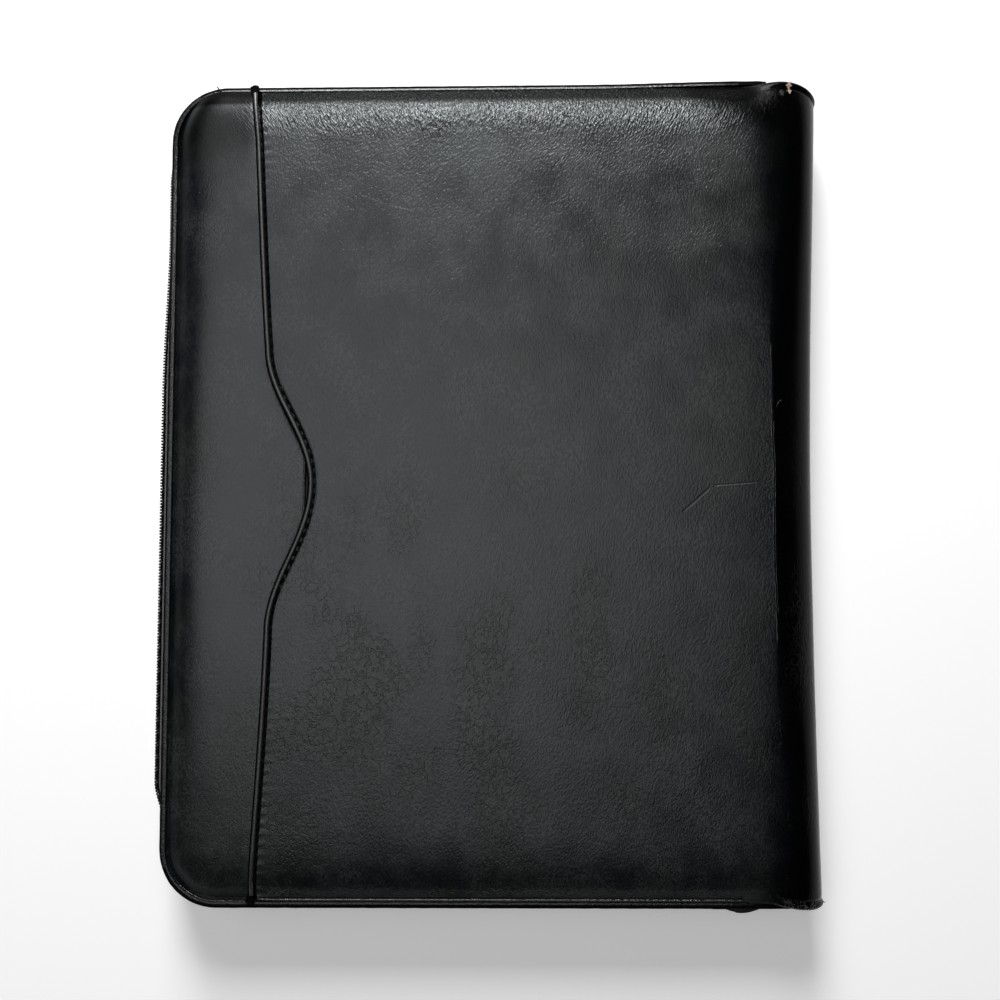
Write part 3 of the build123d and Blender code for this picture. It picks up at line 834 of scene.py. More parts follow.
def beadFlare(at):
    return bead["nearOut"] * endShare(-at.y) + bead["farOut"] * endShare(at.y) * smooth(at.x, *bead["farX"])


def beadPath(level, endX, side):
    points = []
    length = rimLength(endX)
    count = int(length / bead["step"])
    for step in range(count + 1):
        along = length * step / count
        at, way = rimPoint(along, endX, -cover["beadRadius"])
        at = at + way * beadFlare(at)
        grown = 0.75 + 0.25 * smooth(min(along, length - along), 0, bead["taper"])
        thick = cover["beadRadius"] * grown * (1 + bead["ragged"] * wave(at.x, at.y, 4 * mm, level * 900))
        turn = bead["foreTurn"] * smooth(-way.x, 0.3, 1) + bead["nearTurn"] * smooth(-way.y, 0.3, 1)
        points.append((Vector((at.x, at.y, level)), way, thick, side * math.radians(turn)))
    return points


for name, low, high, body, node, side in (
    ("frontBinding", beadLow, beadHigh, "front_cover", "front_binding", 1),
    ("backBinding", backBeadLow, backBeadHigh, "back_cover", "back_binding", -1),
):
    profile = [(out, side * up) for out, up in bead["profile"]]
    mesh = sweptMesh(beadPath((low.z + high.z) / 2, high.x, side), profile)
    # Faces on the bead's outer side, and all of it by the spine, take the flank finish: painted shade
    for face in mesh.faces:
        middle = face.calc_center_median()
        flank = bead["flank"] - beadFlare(middle) + bead["nearFlank"] * endShare(-middle.y)
        paintedShade = edgeDistance(middle.x, middle.y) < flank or middle.x > bead["shadeFrom"]
        face.material_index = 1 if paintedShade else 0
    binding = addPiece(name, mesh, ["bindingLeather", "shadedBindingFlank"], "binding_leather", body)
    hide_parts(node)
print("bindings made")


# Spine: one leather with its lining, bent round both folds; the upper half rolls from a worn crease
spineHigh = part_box("spine_leather_2")[1]
spine = {
    "middleZ": cover["topZ"] / 2,
    "halfLength": spineHigh.y - 2.0 * mm,
    "outX": spineHigh.x - 0.6 * mm,
    "farFlare": 4.2 * mm,
    "farFlareY": (-20 * mm, 175 * mm),
    "endFlare": 0.9 * mm,
    "ridgeX": 122.7 * mm,
    "farRidge": 8.0 * mm,  # how far the ridge moves out towards each end
    "nearRidge": 4.8 * mm,
    "farRidgeY": (55 * mm, 160 * mm),
    "nearRidgeY": (70 * mm, 160 * mm),
    "lowerX": 124 * mm,
    "unit": 20 * mm,  # length of one share on a cover
    "setBack": 2.5 * mm,
    "farReach": 1.0 * mm,
    "nearReach": 2.0 * mm,  # the near end stands out, frayed
    "nearLip": 1.3 * mm,
    "endsFrom": 120 * mm,
    "depth": 2.0 * mm,
    "skin": 1.6 * mm,
    "cloth": 0.6 * mm,
    "liningX": 121 * mm,
    "liningGap": 2.4 * mm,
    "liningZ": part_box("front_lining")[0].z - 0.3 * mm,
    "rows": 300,
    "hemRise": 0.5 * mm,
    "hemGroove": 0.4 * mm,
    "hemDrop": 0.5 * mm,
}


def outX(y):
    far = spine["farFlare"] * smooth(y, *spine["farFlareY"])
    return spine["outX"] + far + spine["endFlare"] * (abs(y) / spine["halfLength"]) ** 8


def ridgeX(y):
    far, near = smooth(y, *spine["farRidgeY"]), smooth(-y, *spine["nearRidgeY"])
    ragged = 0.7 * mm * wave(0, y, 22 * mm, 4.4) + 0.25 * mm * wave(0, y, 6 * mm, 8.1)
    return spine["ridgeX"] + spine["farRidge"] * far + spine["nearRidge"] * near + ragged * (1 - max(far, near))


def spineProfile(share, y):  # share 1 on the upper ridge, 0 at the middle, -1 on the lower ridge
    turn = math.pi / 2 * (1 - abs(share))
    sharp = 1 - smooth(abs(y), 60 * mm, 125 * mm)
    bulge = 1.0 + 0.5 * sharp if share > 0 else 1.0
    startX = ridgeX(y) if share > 0 else spine["lowerX"]
    x = startX + (outX(y) - startX) * math.sin(turn) ** bulge
    rise = coverHeight(startX, y, cover["topZ"]) - spine["middleZ"] if share > 0 else spine["middleZ"]
    z = spine["middleZ"] + math.copysign(rise * math.cos(turn) ** 0.9, share)
    return x, z


def backHeight(x, y):  # the back cover's outer face, mirrored from the front and lying on the floor
    return max(0.0, cover["topZ"] - coverHeight(x, y, cover["topZ"]))


def spineSurface(share, y):  # beyond 1 or -1 the leather lies on a cover
    if abs(share) <= 1:
        return spineProfile(share, y)
    if share > 0:
        x = ridgeX(y) - (share - 1) * spine["unit"]
        return x, coverHeight(x, y, cover["topZ"])
    x = spine["lowerX"] - (-share - 1) * spine["unit"]
    return x, backHeight(x, y)


def skinAt(share, y):  # a point of the skin seen along the spine, and the way out of the skin there
    x, z = spineSurface(share, y)
    nextX, nextZ = spineSurface(share - 0.01, y)
    return Vector((x, 0, z)), Vector((z - nextZ, 0, nextX - x)).normalized()


def endY(share, y):  # the far end draws in towards the spine's middle, the near end stands out
    turned = math.sin(math.pi / 2 * max(0.0, 1 - abs(share))) ** 2
    far = spine["farReach"] * (1 - turned) * (1 - smooth(share, 1.0, 1.8)) - spine["setBack"] * turned
    near = -spine["nearReach"] * turned**0.4 - spine["nearLip"] * (1 - smooth(share, 1.0, 1.5))
    return y + (far if y > 0 else near) * smooth(abs(y), spine["endsFrom"], spine["halfLength"])


def spinePoint(share, y):
    end = spine["halfLength"] - abs(y)
    skin, outward = skinAt(share, y)
    lift = spine["hemRise"] * ridge(end, 1.3 * mm, 0.9 * mm) - spine["hemGroove"] * ridge(end, 3.2 * mm, 0.5 * mm)
    lift -= spine["hemDrop"] * (1 - smooth(end, 0, 0.6 * mm))
    at = Vector((skin.x, endY(share, y), skin.z)) + outward * lift * smooth(1 - abs(share), -0.5, 0.1)
    return Vector((at.x, at.y, max(0.0, at.z)))


def liningPoint(share, y):  # the lining spans the folds and meets the leather at its turned ends
    end = spine["halfLength"] - abs(y)
    turn = math.pi / 2 * max(0.0, 1 - abs(share))
    beyond = max(0.0, abs(share) - 1) * spine["unit"]
    x = spine["liningX"] + (outX(y) - spine["liningGap"] - spine["liningX"]) * math.sin(turn) - beyond
    z = spine["middleZ"] + math.copysign((spine["liningZ"] - spine["middleZ"]) * math.cos(turn), share)
    skin, outward = skinAt(share, y)
    inside = skin - outward * spine["depth"]
    met = (1 - smooth(end, 1 * mm, 14 * mm)) * smooth(1 - abs(share), 0, 0.4)
    return Vector((x + (inside.x - x) * met, endY(share, y), z + (inside.z - z) * met))


def ridgeShare(u, y):  # one row of points lies on the ridge
    if u < 0.5:
        return 1 + (ridgeX(y) - cover["seamX"]) / spine["unit"] * (1 - 2 * u)
    return 1 - 0.55 * (2 * u - 1)


# Each piece spans one hinge; all but the first run evenly from one share down through a span
hinge = {"coverX": 119 * mm, "foldX": 133 * mm, "low": 12.5 * mm, "high": 25 * mm}
upperFold = (
    "spine_fold_2", "front_cover", (hinge["foldX"], 0, cover["topZ"]), (hinge["coverX"], 0, cover["topZ"]),
)
middleFold = (
    "spine_fold_1", "spine_fold_2", (spine["outX"], 0, hinge["low"]), (spine["outX"], 0, hinge["high"]),
)
lowerFold = ("back_cover", "spine_fold_1", (hinge["coverX"], 0, 0), (hinge["foldX"], 0, 0))
leather = (spinePoint, "coverLeather", "cover_leather", spine["skin"])
cloth = (liningPoint, "liningFabric", "lining_fabric", spine["cloth"])
for name, even, columns, (point, look, slot, depth), fold, node in (
    ("spineFront", None, 64, leather, upperFold, "spine_leather_2"),
    ("spineMiddle", (0.45, 0.9), 30, leather, middleFold, None),
    ("spineBack", (-0.45, 1.15), 40, leather, lowerFold, "spine_leather_1"),
    ("spineLiningFront", (1.4, 0.95), 24, cloth, upperFold, "spine_lining_2"),
    ("spineLiningMiddle", (0.45, 0.9), 20, cloth, middleFold, None),
    ("spineLiningBack", (-0.45, 0.95), 24, cloth, lowerFold, "spine_lining_1"),
):
    def place(u, v):
        y = spine["halfLength"] * math.sin(math.pi * (v - 0.5))
        return point(even[0] - even[1] * u if even else ridgeShare(u, y), y)

    mesh = warpedGrid(columns, spine["rows"], place)
    middle = mesh.faces[len(mesh.faces) // 2]
    away = middle.calc_center_median() - Vector((100 * mm, 0, spine["middleZ"]))
    if middle.normal.dot(away) < 0:
        bmesh.ops.reverse_faces(mesh, faces=mesh.faces[:])
    piece = addPiece(name, thicken(mesh, depth), [look], slot)
    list(fold)
    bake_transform(piece)
    if node:
        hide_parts(node)

# Worn strands of the torn finish along the crease, one that curls up, and flakes at the near end
fray = {
    "strands": [(1.0, 57 * mm, -64 * mm), (0.925, 25 * mm, -52 * mm)],  # share across the spine, far and near ends
    "step": 0.8 * mm,
    "radius": 0.11 * mm,
    "curl": [(123.7, 17), (123.9, 24), (123.9, 28), (124.7, 31), (125.7, 33), (126.7, 33.8)],
    "curlSunk": 0.9 * mm,
    "curlStep": 0.12 * mm,
    "curlRadius": 0.12 * mm,
    "flakes": 80,
    "flakeLength": 1.1 * mm,
    "flakeRadius": 0.13 * mm,
    "seed": 7,
}


def joined(runs, sides):  # several round runs in one mesh
    whole = bmesh.new()
    for run in runs:
        mesh = tubeMesh(run, sides)
        data = bpy.data.meshes.new("run")
        mesh.to_mesh(data)
        mesh.free()
        whole.from_mesh(data)
        bpy.data.meshes.remove(data)
    return whole


runs = []
for row, (share, far, near) in enumerate(fray["strands"]):
    run, y = [], far
    while y > near:
        worn = wave(row, y, 11 * mm, 3.3 + row) + 0.5 * wave(row, y, 3 * mm, 6.1)
        at = spinePoint(share + 0.012 * wave(0, y, 5 * mm, 9.0 + row), y)
        run.append(((at.x, at.y, at.z), fray["radius"] * max(0.12, 0.75 + 0.9 * worn)))
        y -= fray["step"]
    runs.append(run)
run = []
for step, (x, y) in enumerate(fray["curl"]):
    z = cover["topZ"] - fray["curlSunk"] + fray["curlStep"] * step
    run.append(((x * mm, y * mm, z), fray["curlRadius"]))
runs.append(run)
creaseFray = addPiece("creaseFray", joined(runs, 1), ["flake"], "cover_leather")
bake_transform(creaseFray)
random.seed(fray["seed"])
flakes = []
for step in range(fray["flakes"]):
    at = spinePoint(random.uniform(0.5, 1.15), -spine["halfLength"] + random.uniform(0.2, 3.6) * mm)
    way = Vector((random.uniform(-0.5, 0.5), random.uniform(-1, 1), random.uniform(-0.3, 0.5))).normalized()
    flakes.append((at, way, way.orthogonal().normalized()))
endFray = addStitches("endFray", flakes, fray["flakeLength"], fray["flakeRadius"], "flake", "cover_leather")
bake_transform(endFray)

# Loose thread ends: one at the far fore corner, one at the spine's near end; place and radius in millimetres
threads = {
    "corner": [(-103.9, 166.4, 31.6, 0.35), (-104.9, 167.4, 32.3, 0.33), (-106.2, 169.0, 32.5, 0.2)],
    "tail": [
        (137.5, -168.2, 26.6, 0.3), (140.0, -168.0, 26.0, 0.28),
        (142.0, -168.1, 25.4, 0.24), (143.4, -168.8, 25.2, 0.12),
    ],
}
runs = {name: [((x * mm, y * mm, z * mm), r * mm) for x, y, z, r in points] for name, points in threads.items()}
addPiece("cornerThread", joined([runs["corner"]], 1), ["thread"], "binding_leather", "front_cover")
spineThread = addPiece("spineThread", joined([runs["tail"]], 1), ["thread"], "cover_leather")
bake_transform(spineThread)
print("spine made:", len(creaseFray.data.polygons) + len(endFray.data.polygons), "faces of strands and flakes")


# Back cover's outer leather, padded like the front
back = {"columns": 90, "rows": 150}
mesh = cornerGrid(back["columns"], back["rows"], cover["skinInset"], cover["seamX"], backHeight)
bmesh.ops.reverse_faces(mesh, faces=mesh.faces[:])
backPanel = addPiece("backPanel", thicken(mesh, cover["skinDepth"]), ["coverLeather"], "cover_leather", "back_cover")
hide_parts("back_leather", "back_foam")
print("back panel made")


# Zip: two tapes and two coils, which bow out along the fore edge
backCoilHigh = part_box("back_zip_coil")[1]
frontCoilLow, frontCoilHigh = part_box("front_zip_coil")
zipper = {
    "z": (backCoilHigh.z + frontCoilLow.z) / 2,
    "endX": backCoilHigh.x,
    "bow": 7.0 * mm,
    "lowerBow": 3.0 * mm,
    "lowerBowY": (-122 * mm, -140 * mm),
    "pitch": 1.27 * mm,
    "loopSteps": 8,
    "wire": 0.42 * mm,
    "tall": 1.55 * mm,
    "deep": 1.05 * mm,
    "lift": 1.15 * mm,
    "coilIn": 0.6 * mm,
    "tapeEndX": backCoilHigh.x + 2 * mm,
    "tapeDepth": 0.6 * mm,
    "tapeWidth": 14 * mm,
    "tapeIn": 1.6 * mm,
    "tapeGrid": (10, 420),
}


def zipOut(at):  # how far the coils stand outside the cover's outline
    upper = 0.72 * smooth(at.y, 160 * mm, 132 * mm) + 0.28 * smooth(at.y, 110 * mm, 40 * mm)
    lower = smooth(at.x, -88 * mm, -112 * mm) if at.y < -145 * mm else 1.0  # clear of the pull's path
    reach = zipper["bow"] + (zipper["lowerBow"] - zipper["bow"]) * smooth(at.y, *zipper["lowerBowY"])
    return -cover["beadRadius"] + reach * upper * lower


def coilPath(side, lastX):
    points = []
    length = rimLength(zipper["endX"])
    count = int(length / zipper["pitch"]) * zipper["loopSteps"]
    for step in range(count + 1):
        at, way = rimPoint(length * step / count, zipper["endX"], 0)
        if at.y < 0 and at.x > lastX:
            break
        turn = 2 * math.pi * (step / zipper["loopSteps"] + (0.5 if side > 0 else 0))
        at = at + way * (zipOut(at) - zipper["coilIn"] + zipper["deep"] * math.cos(turn))
        z = zipper["z"] + side * (zipper["lift"] + zipper["tall"] * math.sin(turn))
        points.append(((at.x, at.y, z), zipper["wire"]))
    return points


def tapePoint(side, beadZ):
    length, inner = rimLength(zipper["tapeEndX"]), cover["beadRadius"]

    def place(u, v):
        at, way = rimPoint(length * v, zipper["tapeEndX"], 0)
        at = at + way * (-inner + (zipOut(at) + inner) * smooth(u, 0.05, 0.95) - zipper["tapeIn"] * u)
        low, high = beadZ - side * 1.0 * mm, zipper["z"] + side * 0.9 * mm
        return Vector((at.x, at.y, low + (high - low) * u))

    return place


for name, side, body, beadZ, lastX in (
    ("front", 1, "front_cover", (beadLow.z + beadHigh.z) / 2, frontCoilHigh.x),
    ("back", -1, "back_cover", (backBeadLow.z + backBeadHigh.z) / 2, backCoilHigh.x),
):
    coil = addPiece(name + "Coil", tubeMesh(coilPath(side, lastX), 0), ["coilNylon"], "zip_coil", body, 80)
    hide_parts(name + "_zip_coil")
    mesh = thicken(warpedGrid(*zipper["tapeGrid"], tapePoint(side, beadZ)), zipper["tapeDepth"])
    bmesh.ops.recalc_face_normals(mesh, faces=mesh.faces[:])
    tape = addPiece(name + "Tape", mesh, ["tapeFabric"], "zip_tape", body)
    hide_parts(name + "_zip_tape")
    name + "_binding"
print("zip made")

# Finishes of the solids that stay as they are
for look, nodes in (
    ("cardBoard", ("front_board", "back_board", "pad_board")),
    ("headerTape", ("pad_header",)),
    ("blackMetal", ("zip_start_stop", "zip_end_stop")),
):
    for node in nodes:
        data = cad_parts[node].data
        data.materials.clear()
        data.materials.append(finishes[look])

# Slider with a low bridge, and a bowed pull that stands out past the binding
pull = {
    "bow": 1.2 * mm,
    "from": 103 * mm,
    "to": 118 * mm,
    "slice": 1.2 * mm,
    "tuck": 0.5 * mm,
    "bridgeY": -172.6 * mm,
    "flatten": 0.35,
    "plateY": -169.9 * mm,
    "thin": 0.8 * mm,  # room for the pull when it is folded over the tail
    "tailX": (100 * mm, 95.5 * mm),
}
for name, node in (("zipSlider", "zip_slider"), ("zipPull", "zip_pull")):
    mesh = bmesh.new()
    mesh.from_mesh(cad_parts[node].data)
    mesh.transform(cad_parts[node].matrix_world)
    low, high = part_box(node)
    if node == "zip_pull":
        for cut in range(1, int((high.x - low.x) / pull["slice"])):
            whole = mesh.verts[:] + mesh.edges[:] + mesh.faces[:]
            cutAt = (low.x + cut * pull["slice"], 0, 0)
            bmesh.ops.bisect_plane(mesh, geom=whole, plane_co=cutAt, plane_no=(1, 0, 0))
    for vertex in mesh.verts:
        if node == "zip_pull":
            share = min(1.0, max(0.0, (vertex.co.x - pull["from"]) / (pull["to"] - pull["from"])))
            vertex.co.y += pull["tuck"] - (pull["bow"] + pull["tuck"]) * math.sin(math.pi * share)
        elif vertex.co.y < pull["bridgeY"]:
            vertex.co.y = pull["bridgeY"] + (vertex.co.y - pull["bridgeY"]) * pull["flatten"]
        elif vertex.co.y < pull["plateY"]:
            vertex.co.y += pull["thin"] * smooth(vertex.co.x, *pull["tailX"])
    mesh.normal_update()
    metal = addPiece(name, mesh, ["blackMetal"], "black_metal", node, 35)
    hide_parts(node)
print("slider and pull made")

# Seams of the covers: stitches beside the bead, of which only the near side's show outside the roll
seam = {"inset": 3.2 * mm, "pitch": 3.6 * mm, "sit": 0.1 * mm, "length": 2.6 * mm, "thread": 0.24 * mm}
frontPlaces, backPlaces = [], []
length = rimLength(cover["seamX"])
count = int(length / seam["pitch"])
for step in range(1, count):
    at, way = rimPoint(length * step / count, cover["seamX"], -seam["inset"])
    if way.y > -0.9:
        continue
    along = Vector((-way.y, way.x, 0))
    top = foreHeight(at.x, at.y) if at.x < mouthX(at.y) else pocketHeight(at.x, at.y)
    bottom = max(seam["thread"], backHeight(at.x, at.y) - seam["sit"])
    frontPlaces.append((Vector((at.x, at.y, top + seam["sit"])), along, Vector((0, 0, 1))))
    backPlaces.append((Vector((at.x, at.y, bottom)), along, Vector((0, 0, -1))))
for name, places, body in (("frontStitches", frontPlaces, "front_cover"), ("backStitches", backPlaces, "back_cover")):
    addStitches(name, places, seam["length"], seam["thread"], "thread", "binding_leather", body)

# Lip of the pocket panel, pinched up by those stitches
lip = {
    "inset": 3.3 * mm,
    "foot": 0.4 * mm,
    "sit": 0.05 * mm,
    "radius": 0.36 * mm,
    "ragged": 0.45,
    "step": 0.6 * mm,
    "start": 4 * mm,
    "endX": 109 * mm,
}
run = []
y = lip["inset"] - cover["half"]
x = mouthX(y) + lip["start"]
while x < lip["endX"]:
    radius = lip["radius"] * (1 + lip["ragged"] * wave(x, y, 1.3 * mm, 5.2))
    run.append(((x, y, pocketHeight(x, y + lip["foot"]) + lip["sit"]), radius))
    x += lip["step"]
addPiece("panelLip", tubeMesh(run, 8), ["bindingLeather"], "cover_leather", "front_cover")
print("cover seams made:", len(frontPlaces) + len(backPlaces), "stitches")

# Linings: cloth drawn over the boards
lining = {"columns": 60, "rows": 90, "inset": 2.6 * mm, "endGap": 0.2 * mm, "depth": 0.6 * mm, "ripple": 0.12 * mm}
for name, node, body, side, board in (
    ("backLining", "back_lining", "back_cover", 1, "back_board"),
    ("frontLining", "front_lining", "front_cover", -1, "front_board"),
):
    low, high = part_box(node)
    face = high.z if side > 0 else low.z

    def height(x, y):
        return face + side * lining["ripple"] * (wave(x, y, 40 * mm, side) - 1)

    mesh = cornerGrid(lining["columns"], lining["rows"], lining["inset"], high.x - lining["endGap"], height)
    if side < 0:
        bmesh.ops.reverse_faces(mesh, faces=mesh.faces[:])
    sheet = addPiece(name, thicken(mesh, lining["depth"]), ["liningFabric"], "lining_fabric", body)
    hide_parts(node)

slipLow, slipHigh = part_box("pocket_lining")
slip = {"columns": 60, "rows": 90, "gap": 0.4 * mm, "depth": 0.5 * mm}


def slipPoint(u, v):  # the pocket's own lining, under the pocket panel
    x, y = slipLow.x + (slipHigh.x - slipLow.x) * u, slipLow.y + (slipHigh.y - slipLow.y) * v
    return Vector((x, y, min(slipHigh.z, pocketHeight(x, y) - cover["skinDepth"] - slip["gap"])))


mesh = thicken(warpedGrid(slip["columns"], slip["rows"], slipPoint), slip["depth"])
slipLining = addPiece("pocketLining", mesh, ["liningFabric"], "lining_fabric", "front_cover")
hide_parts("pocket_lining")
print("linings made")


# Organiser: leather panels sewn along three edges, open at the near edge, with a rolled mouth
sewn = {
    "columns": 70,
    "rows": 70,
    "depth": 0.7 * mm,
    "soft": 0.12 * mm,
    "mouthRoll": 0.35 * mm,
    "mouthGroove": 0.25 * mm,
    "grooveAt": 2.8 * mm,
    "seamInset": 1.8 * mm,
    "seamStart": 3 * mm,
    "pitch": 3.4 * mm,
    "stitch": 2.4 * mm,
    "sit": 0.05 * mm,
    "thread": 0.22 * mm,
}


def sewnPanel(name, node, body, side, corner, edgeWidth):
    low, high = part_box(node)
    base, face = (low.z, high.z) if side > 0 else (high.z, low.z)

    def height(x, y):
        edge = min(x - low.x, high.x - x, high.y - y)
        if x - low.x < corner and high.y - y < corner:
            edge = corner - math.hypot(corner - (x - low.x), corner - (high.y - y))
        stand = 1 - 0.75 * math.exp(-max(0.0, edge) / edgeWidth)
        roll = sewn["mouthRoll"] * ridge(y - low.y, 1.0 * mm, 0.8 * mm)
        roll -= sewn["mouthGroove"] * ridge(y - low.y, sewn["grooveAt"], 0.5 * mm)
        soft = sewn["soft"] * (wave(x, y, 30 * mm, 6.6) - 1)
        return base + (face + side * (soft + roll) - base) * stand

    def place(u, v):
        x = low.x + (high.x - low.x) * (0.5 - 0.5 * math.cos(math.pi * u))
        off = x - low.x
        reach = high.y
        if off < corner:
            reach = high.y - corner + math.sqrt(max(0.0, corner**2 - (corner - off) ** 2))
        y = low.y + (reach - low.y) * (0.5 - 0.5 * math.cos(math.pi * v))
        return Vector((x, y, height(x, y)))

    mesh = warpedGrid(sewn["columns"], sewn["rows"], place)
    if side < 0:
        bmesh.ops.reverse_faces(mesh, faces=mesh.faces[:])
    panel = addPiece(name, thicken(mesh, sewn["depth"]), ["organiserLeather"], "organiser_leather", body)
    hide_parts(node)
    inset, r = sewn["seamInset"], max(0.0, corner - sewn["seamInset"])
    x0, x1, y0, y1 = low.x + inset, high.x - inset, low.y + sewn["seamStart"], high.y - inset
    mouthY = low.y + sewn["grooveAt"]
    places = []
    for start, end in (
        ((x0, y0), (x0, y1 - r)),
        ((x0 + r, y1), (x1, y1)),
        ((x1, y1), (x1, y0)),
        ((x0, mouthY), (x1, mouthY)),
    ):
        way = Vector((end[0] - start[0], end[1] - start[1], 0)).normalized()
        count = int(math.dist(start, end) / sewn["pitch"])
        for step in range(count):
            share = (step + 0.5) / count
            x, y = start[0] + (end[0] - start[0]) * share, start[1] + (end[1] - start[1]) * share
            places.append((Vector((x, y, height(x, y) + side * sewn["sit"])), way, Vector((0, 0, side))))
    return places


backSeams = sewnPanel("padSleeve", "pad_sleeve", "back_cover", 1, 18.5 * mm, 1.4 * mm)
frontSeams = sewnPanel("documentPocket", "document_pocket", "front_cover", -1, 12.5 * mm, 1.4 * mm)
for step in (1, 2, 3):
    frontSeams += sewnPanel(f"cardPocket{step}", f"card_pocket_{step}", "front_cover", -1, 0.0, 0.8 * mm)
for name, places, body in (("sleeveStitches", backSeams, "back_cover"), ("pocketStitches", frontSeams, "front_cover")):
    addStitches(name, places, sewn["stitch"], sewn["thread"], "thread", "organiser_leather", body)
print("organiser made:", len(backSeams) + len(frontSeams), "stitches")


# Writing pad: sheaves of paper under a bound header
paper = {"sheaves": 12, "slip": 0.25 * mm, "trim": 0.6 * mm, "full": 0.96}
low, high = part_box("pad_sheets")
depth = (high.z - low.z) / paper["sheaves"]
size = Matrix.Diagonal((high.x - low.x - paper["trim"], high.y - low.y - paper["trim"], depth * paper["full"], 1))
mesh = bmesh.new()
for layer in range(paper["sheaves"]):
    slipX = paper["slip"] * wave(layer * 0.01, 0, 0.007, 1.5)
    slipY = paper["slip"] * wave(0, layer * 0.01, 0.007, 2.5)
    z = low.z + (layer + 0.5) * depth
    centre = Vector(((low.x + high.x) / 2 + slipX, (low.y + high.y) / 2 + slipY, z))
    bmesh.ops.create_cube(mesh, size=1, matrix=Matrix.Translation(centre) @ size)
for face in mesh.faces:
    face.material_index = 0 if face.normal.z > 0.5 else 1
padSheets = addPiece("padSheets", mesh, ["ruledPaper", "paperEdge"], "pad_paper", "back_cover", 20)
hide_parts("pad_sheets")

# Pen loop: a ribbed elastic band round the pen, its tail sewn to the lining
loopLow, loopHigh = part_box("pen_loop")
loop = {"bore": 5.5 * mm, "band": 0.8 * mm, "tail": 9 * mm, "tailShare": 0.16, "soft": 0.02, "around": 56, "along": 30}
loopX, loopZ = loopHigh.x - loop["bore"] - loop["band"], loopLow.z + loop["bore"] + loop["band"]


def loopPoint(u, v):  # starts at the tail's end, runs under the pen and once round it
    tail = loop["tailShare"]
    y = loopLow.y + (loopHigh.y - loopLow.y) * v
    if u < tail:
        return Vector((loopX - loop["tail"] * (1 - u / tail), y, loopLow.z + loop["band"]))
    turn = 2 * math.pi * (u - tail) / (1 - tail)
    radius = loop["bore"] * (1 + loop["soft"] * math.sin(turn * 2 + 0.7))
    return Vector((loopX + radius * math.sin(turn), y, loopZ - radius * math.cos(turn)))


mesh = thicken(warpedGrid(loop["around"], loop["along"], loopPoint), -loop["band"])
bmesh.ops.recalc_face_normals(mesh, faces=mesh.faces[:])
penLoop = addPiece("penLoop", mesh, ["elastic"], "pen_elastic", "back_cover")
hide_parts("pen_loop")
print("pad and pen loop made")

# Floor, soft light and camera
stage = {
    "floorSize": 6.0,
    "floorColour": (0.9, 0.9, 0.9, 1),
    "floorRough": 0.9,
    "glow": 0.25,  # the floor's own light, seen by the camera and in reflections
    "keyPlace": (-0.12, 1.08, 0.78),
    "keySize": (0.45, 0.6),
    "keyPower": 21.0,
    "topPlace": (-0.27, 0.09, 1.3),
    "topSize": (0.95, 1.2),
    "topPower": 5.2,
    "world": (0.02, 0.02, 0.02, 1),
    "backdrop": (0.8, 0.8, 0.8, 1),  # a pale wall all round, seen but giving no light
    "wallFull": 0.0,  # sines of the heights between which the wall fades out in mirrors
    "wallEnd": 0.26,
}
mesh = bmesh.new()
bmesh.ops.create_grid(mesh, x_segments=1, y_segments=1, size=stage["floorSize"] / 2)
data = bpy.data.meshes.new("floor")
mesh.to_mesh(data)
mesh.free()
floor = bpy.data.objects.new("floor", data)
scene.collection.objects.link(floor)
floor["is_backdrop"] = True
floorPaint = bpy.data.materials.new("floorPaint")
floorPaint.use_nodes = True
data.materials.append(floorPaint)
floorShader = floorPaint.node_tree.nodes["Principled BSDF"]
for key, value in (
    ("Base Color", stage["floorColour"]),
    ("Roughness", stage["floorRough"]),
    (shine, 0.0),
    ("Emission Strength", stage["glow"]),
):
    floorShader.inputs[key].default_value = value


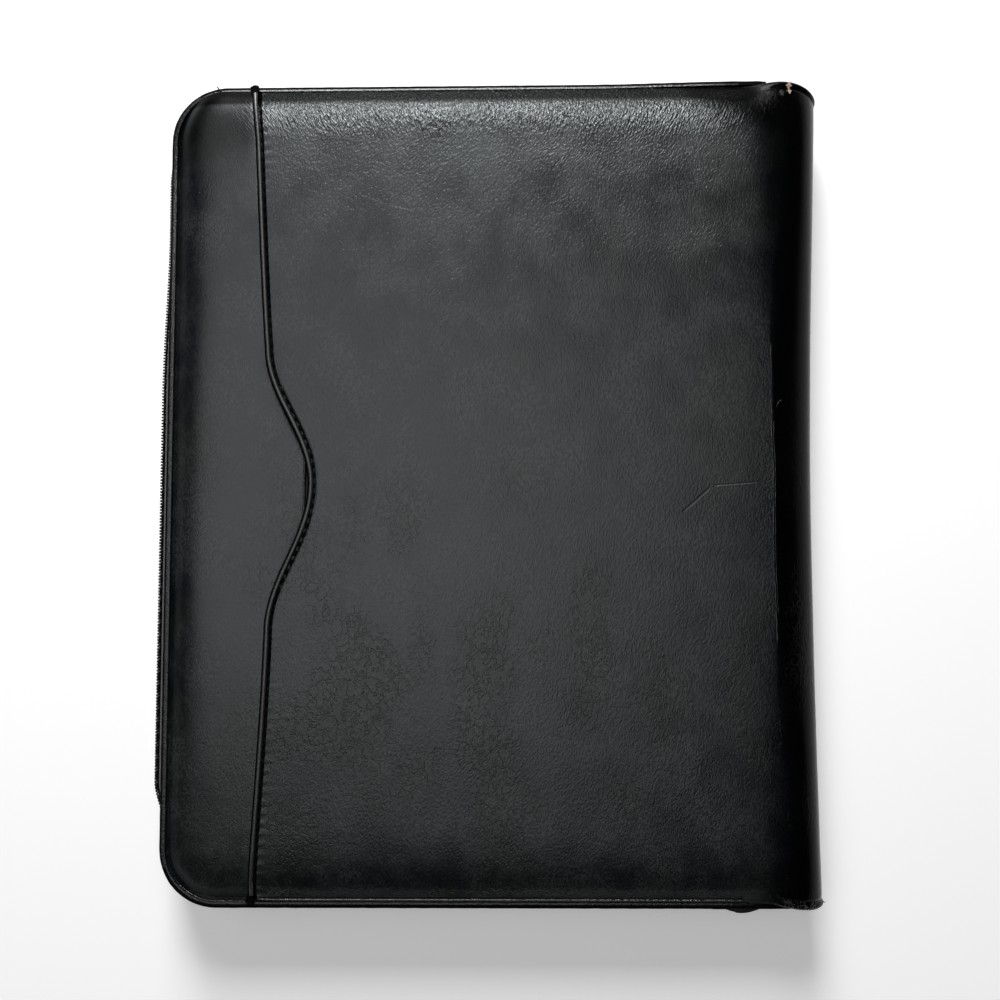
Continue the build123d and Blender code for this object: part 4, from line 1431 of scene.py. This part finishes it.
def seenRays(start, mirrored):  # 1 for what the camera sees, mirrored for what it sees in a mirror or through glass
    kinds = ("Camera", "Glossy", "Transmission")
    straight, glossy, through = (start.node("ShaderNodeLightPath", out=f"Is {kind} Ray") for kind in kinds)
    return (straight + (glossy + through) * mirrored).rise(0.0, 1.0)


glow = seenRays(Paint(floorPaint.node_tree), 1.0).mixed((0, 0, 0, 1), (1, 1, 1, 1))
floorPaint.node_tree.links.new(glow.socket, floorShader.inputs["Emission Color"])


def softLight(name, place, size, power):  # aimed at the middle of the cover
    lamp = bpy.data.lights.new(name, "AREA")
    lamp.shape, lamp.size, lamp.size_y, lamp.energy = "RECTANGLE", size[0], size[1], power
    holder = bpy.data.objects.new(name, lamp)
    scene.collection.objects.link(holder)
    holder.location = place
    holder.rotation_euler = (-Vector(place)).to_track_quat("-Z", "Y").to_euler()


softLight("windowLight", stage["keyPlace"], stage["keySize"], stage["keyPower"])
softLight("overheadLight", stage["topPlace"], stage["topSize"], stage["topPower"])
sky = bpy.data.worlds.new("studio")
sky.use_nodes = True
upward = Paint(sky.node_tree).node("ShaderNodeTexCoord", out="Generated").along("Z")
wall = seenRays(Paint(sky.node_tree), upward.rise(stage["wallEnd"], stage["wallFull"]))
behind = wall.mixed(stage["world"], stage["backdrop"])
sky.node_tree.links.new(behind.socket, sky.node_tree.nodes["Background"].inputs["Color"])
scene.world = sky
scene.view_settings.view_transform = "Standard"

view = {
    "place": (18.57 * mm, -32.6 * mm, 440.16 * mm),
    "turn": (3.716, 0.833, -0.15),
    "lens": 36.0,
    "sensor": 36.0,
    "clip": 0.01,
}
camera = bpy.data.cameras.new("photoCamera")
camera.lens, camera.sensor_width, camera.clip_start = view["lens"], view["sensor"], view["clip"]
holder = bpy.data.objects.new("photoCamera", camera)
holder.location = view["place"]
holder.rotation_euler = [math.radians(angle) for angle in view["turn"]]
scene.collection.objects.link(holder)
scene.camera = holder

low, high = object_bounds()
print("size", [round(v, 4) for v in (*low, *high)])
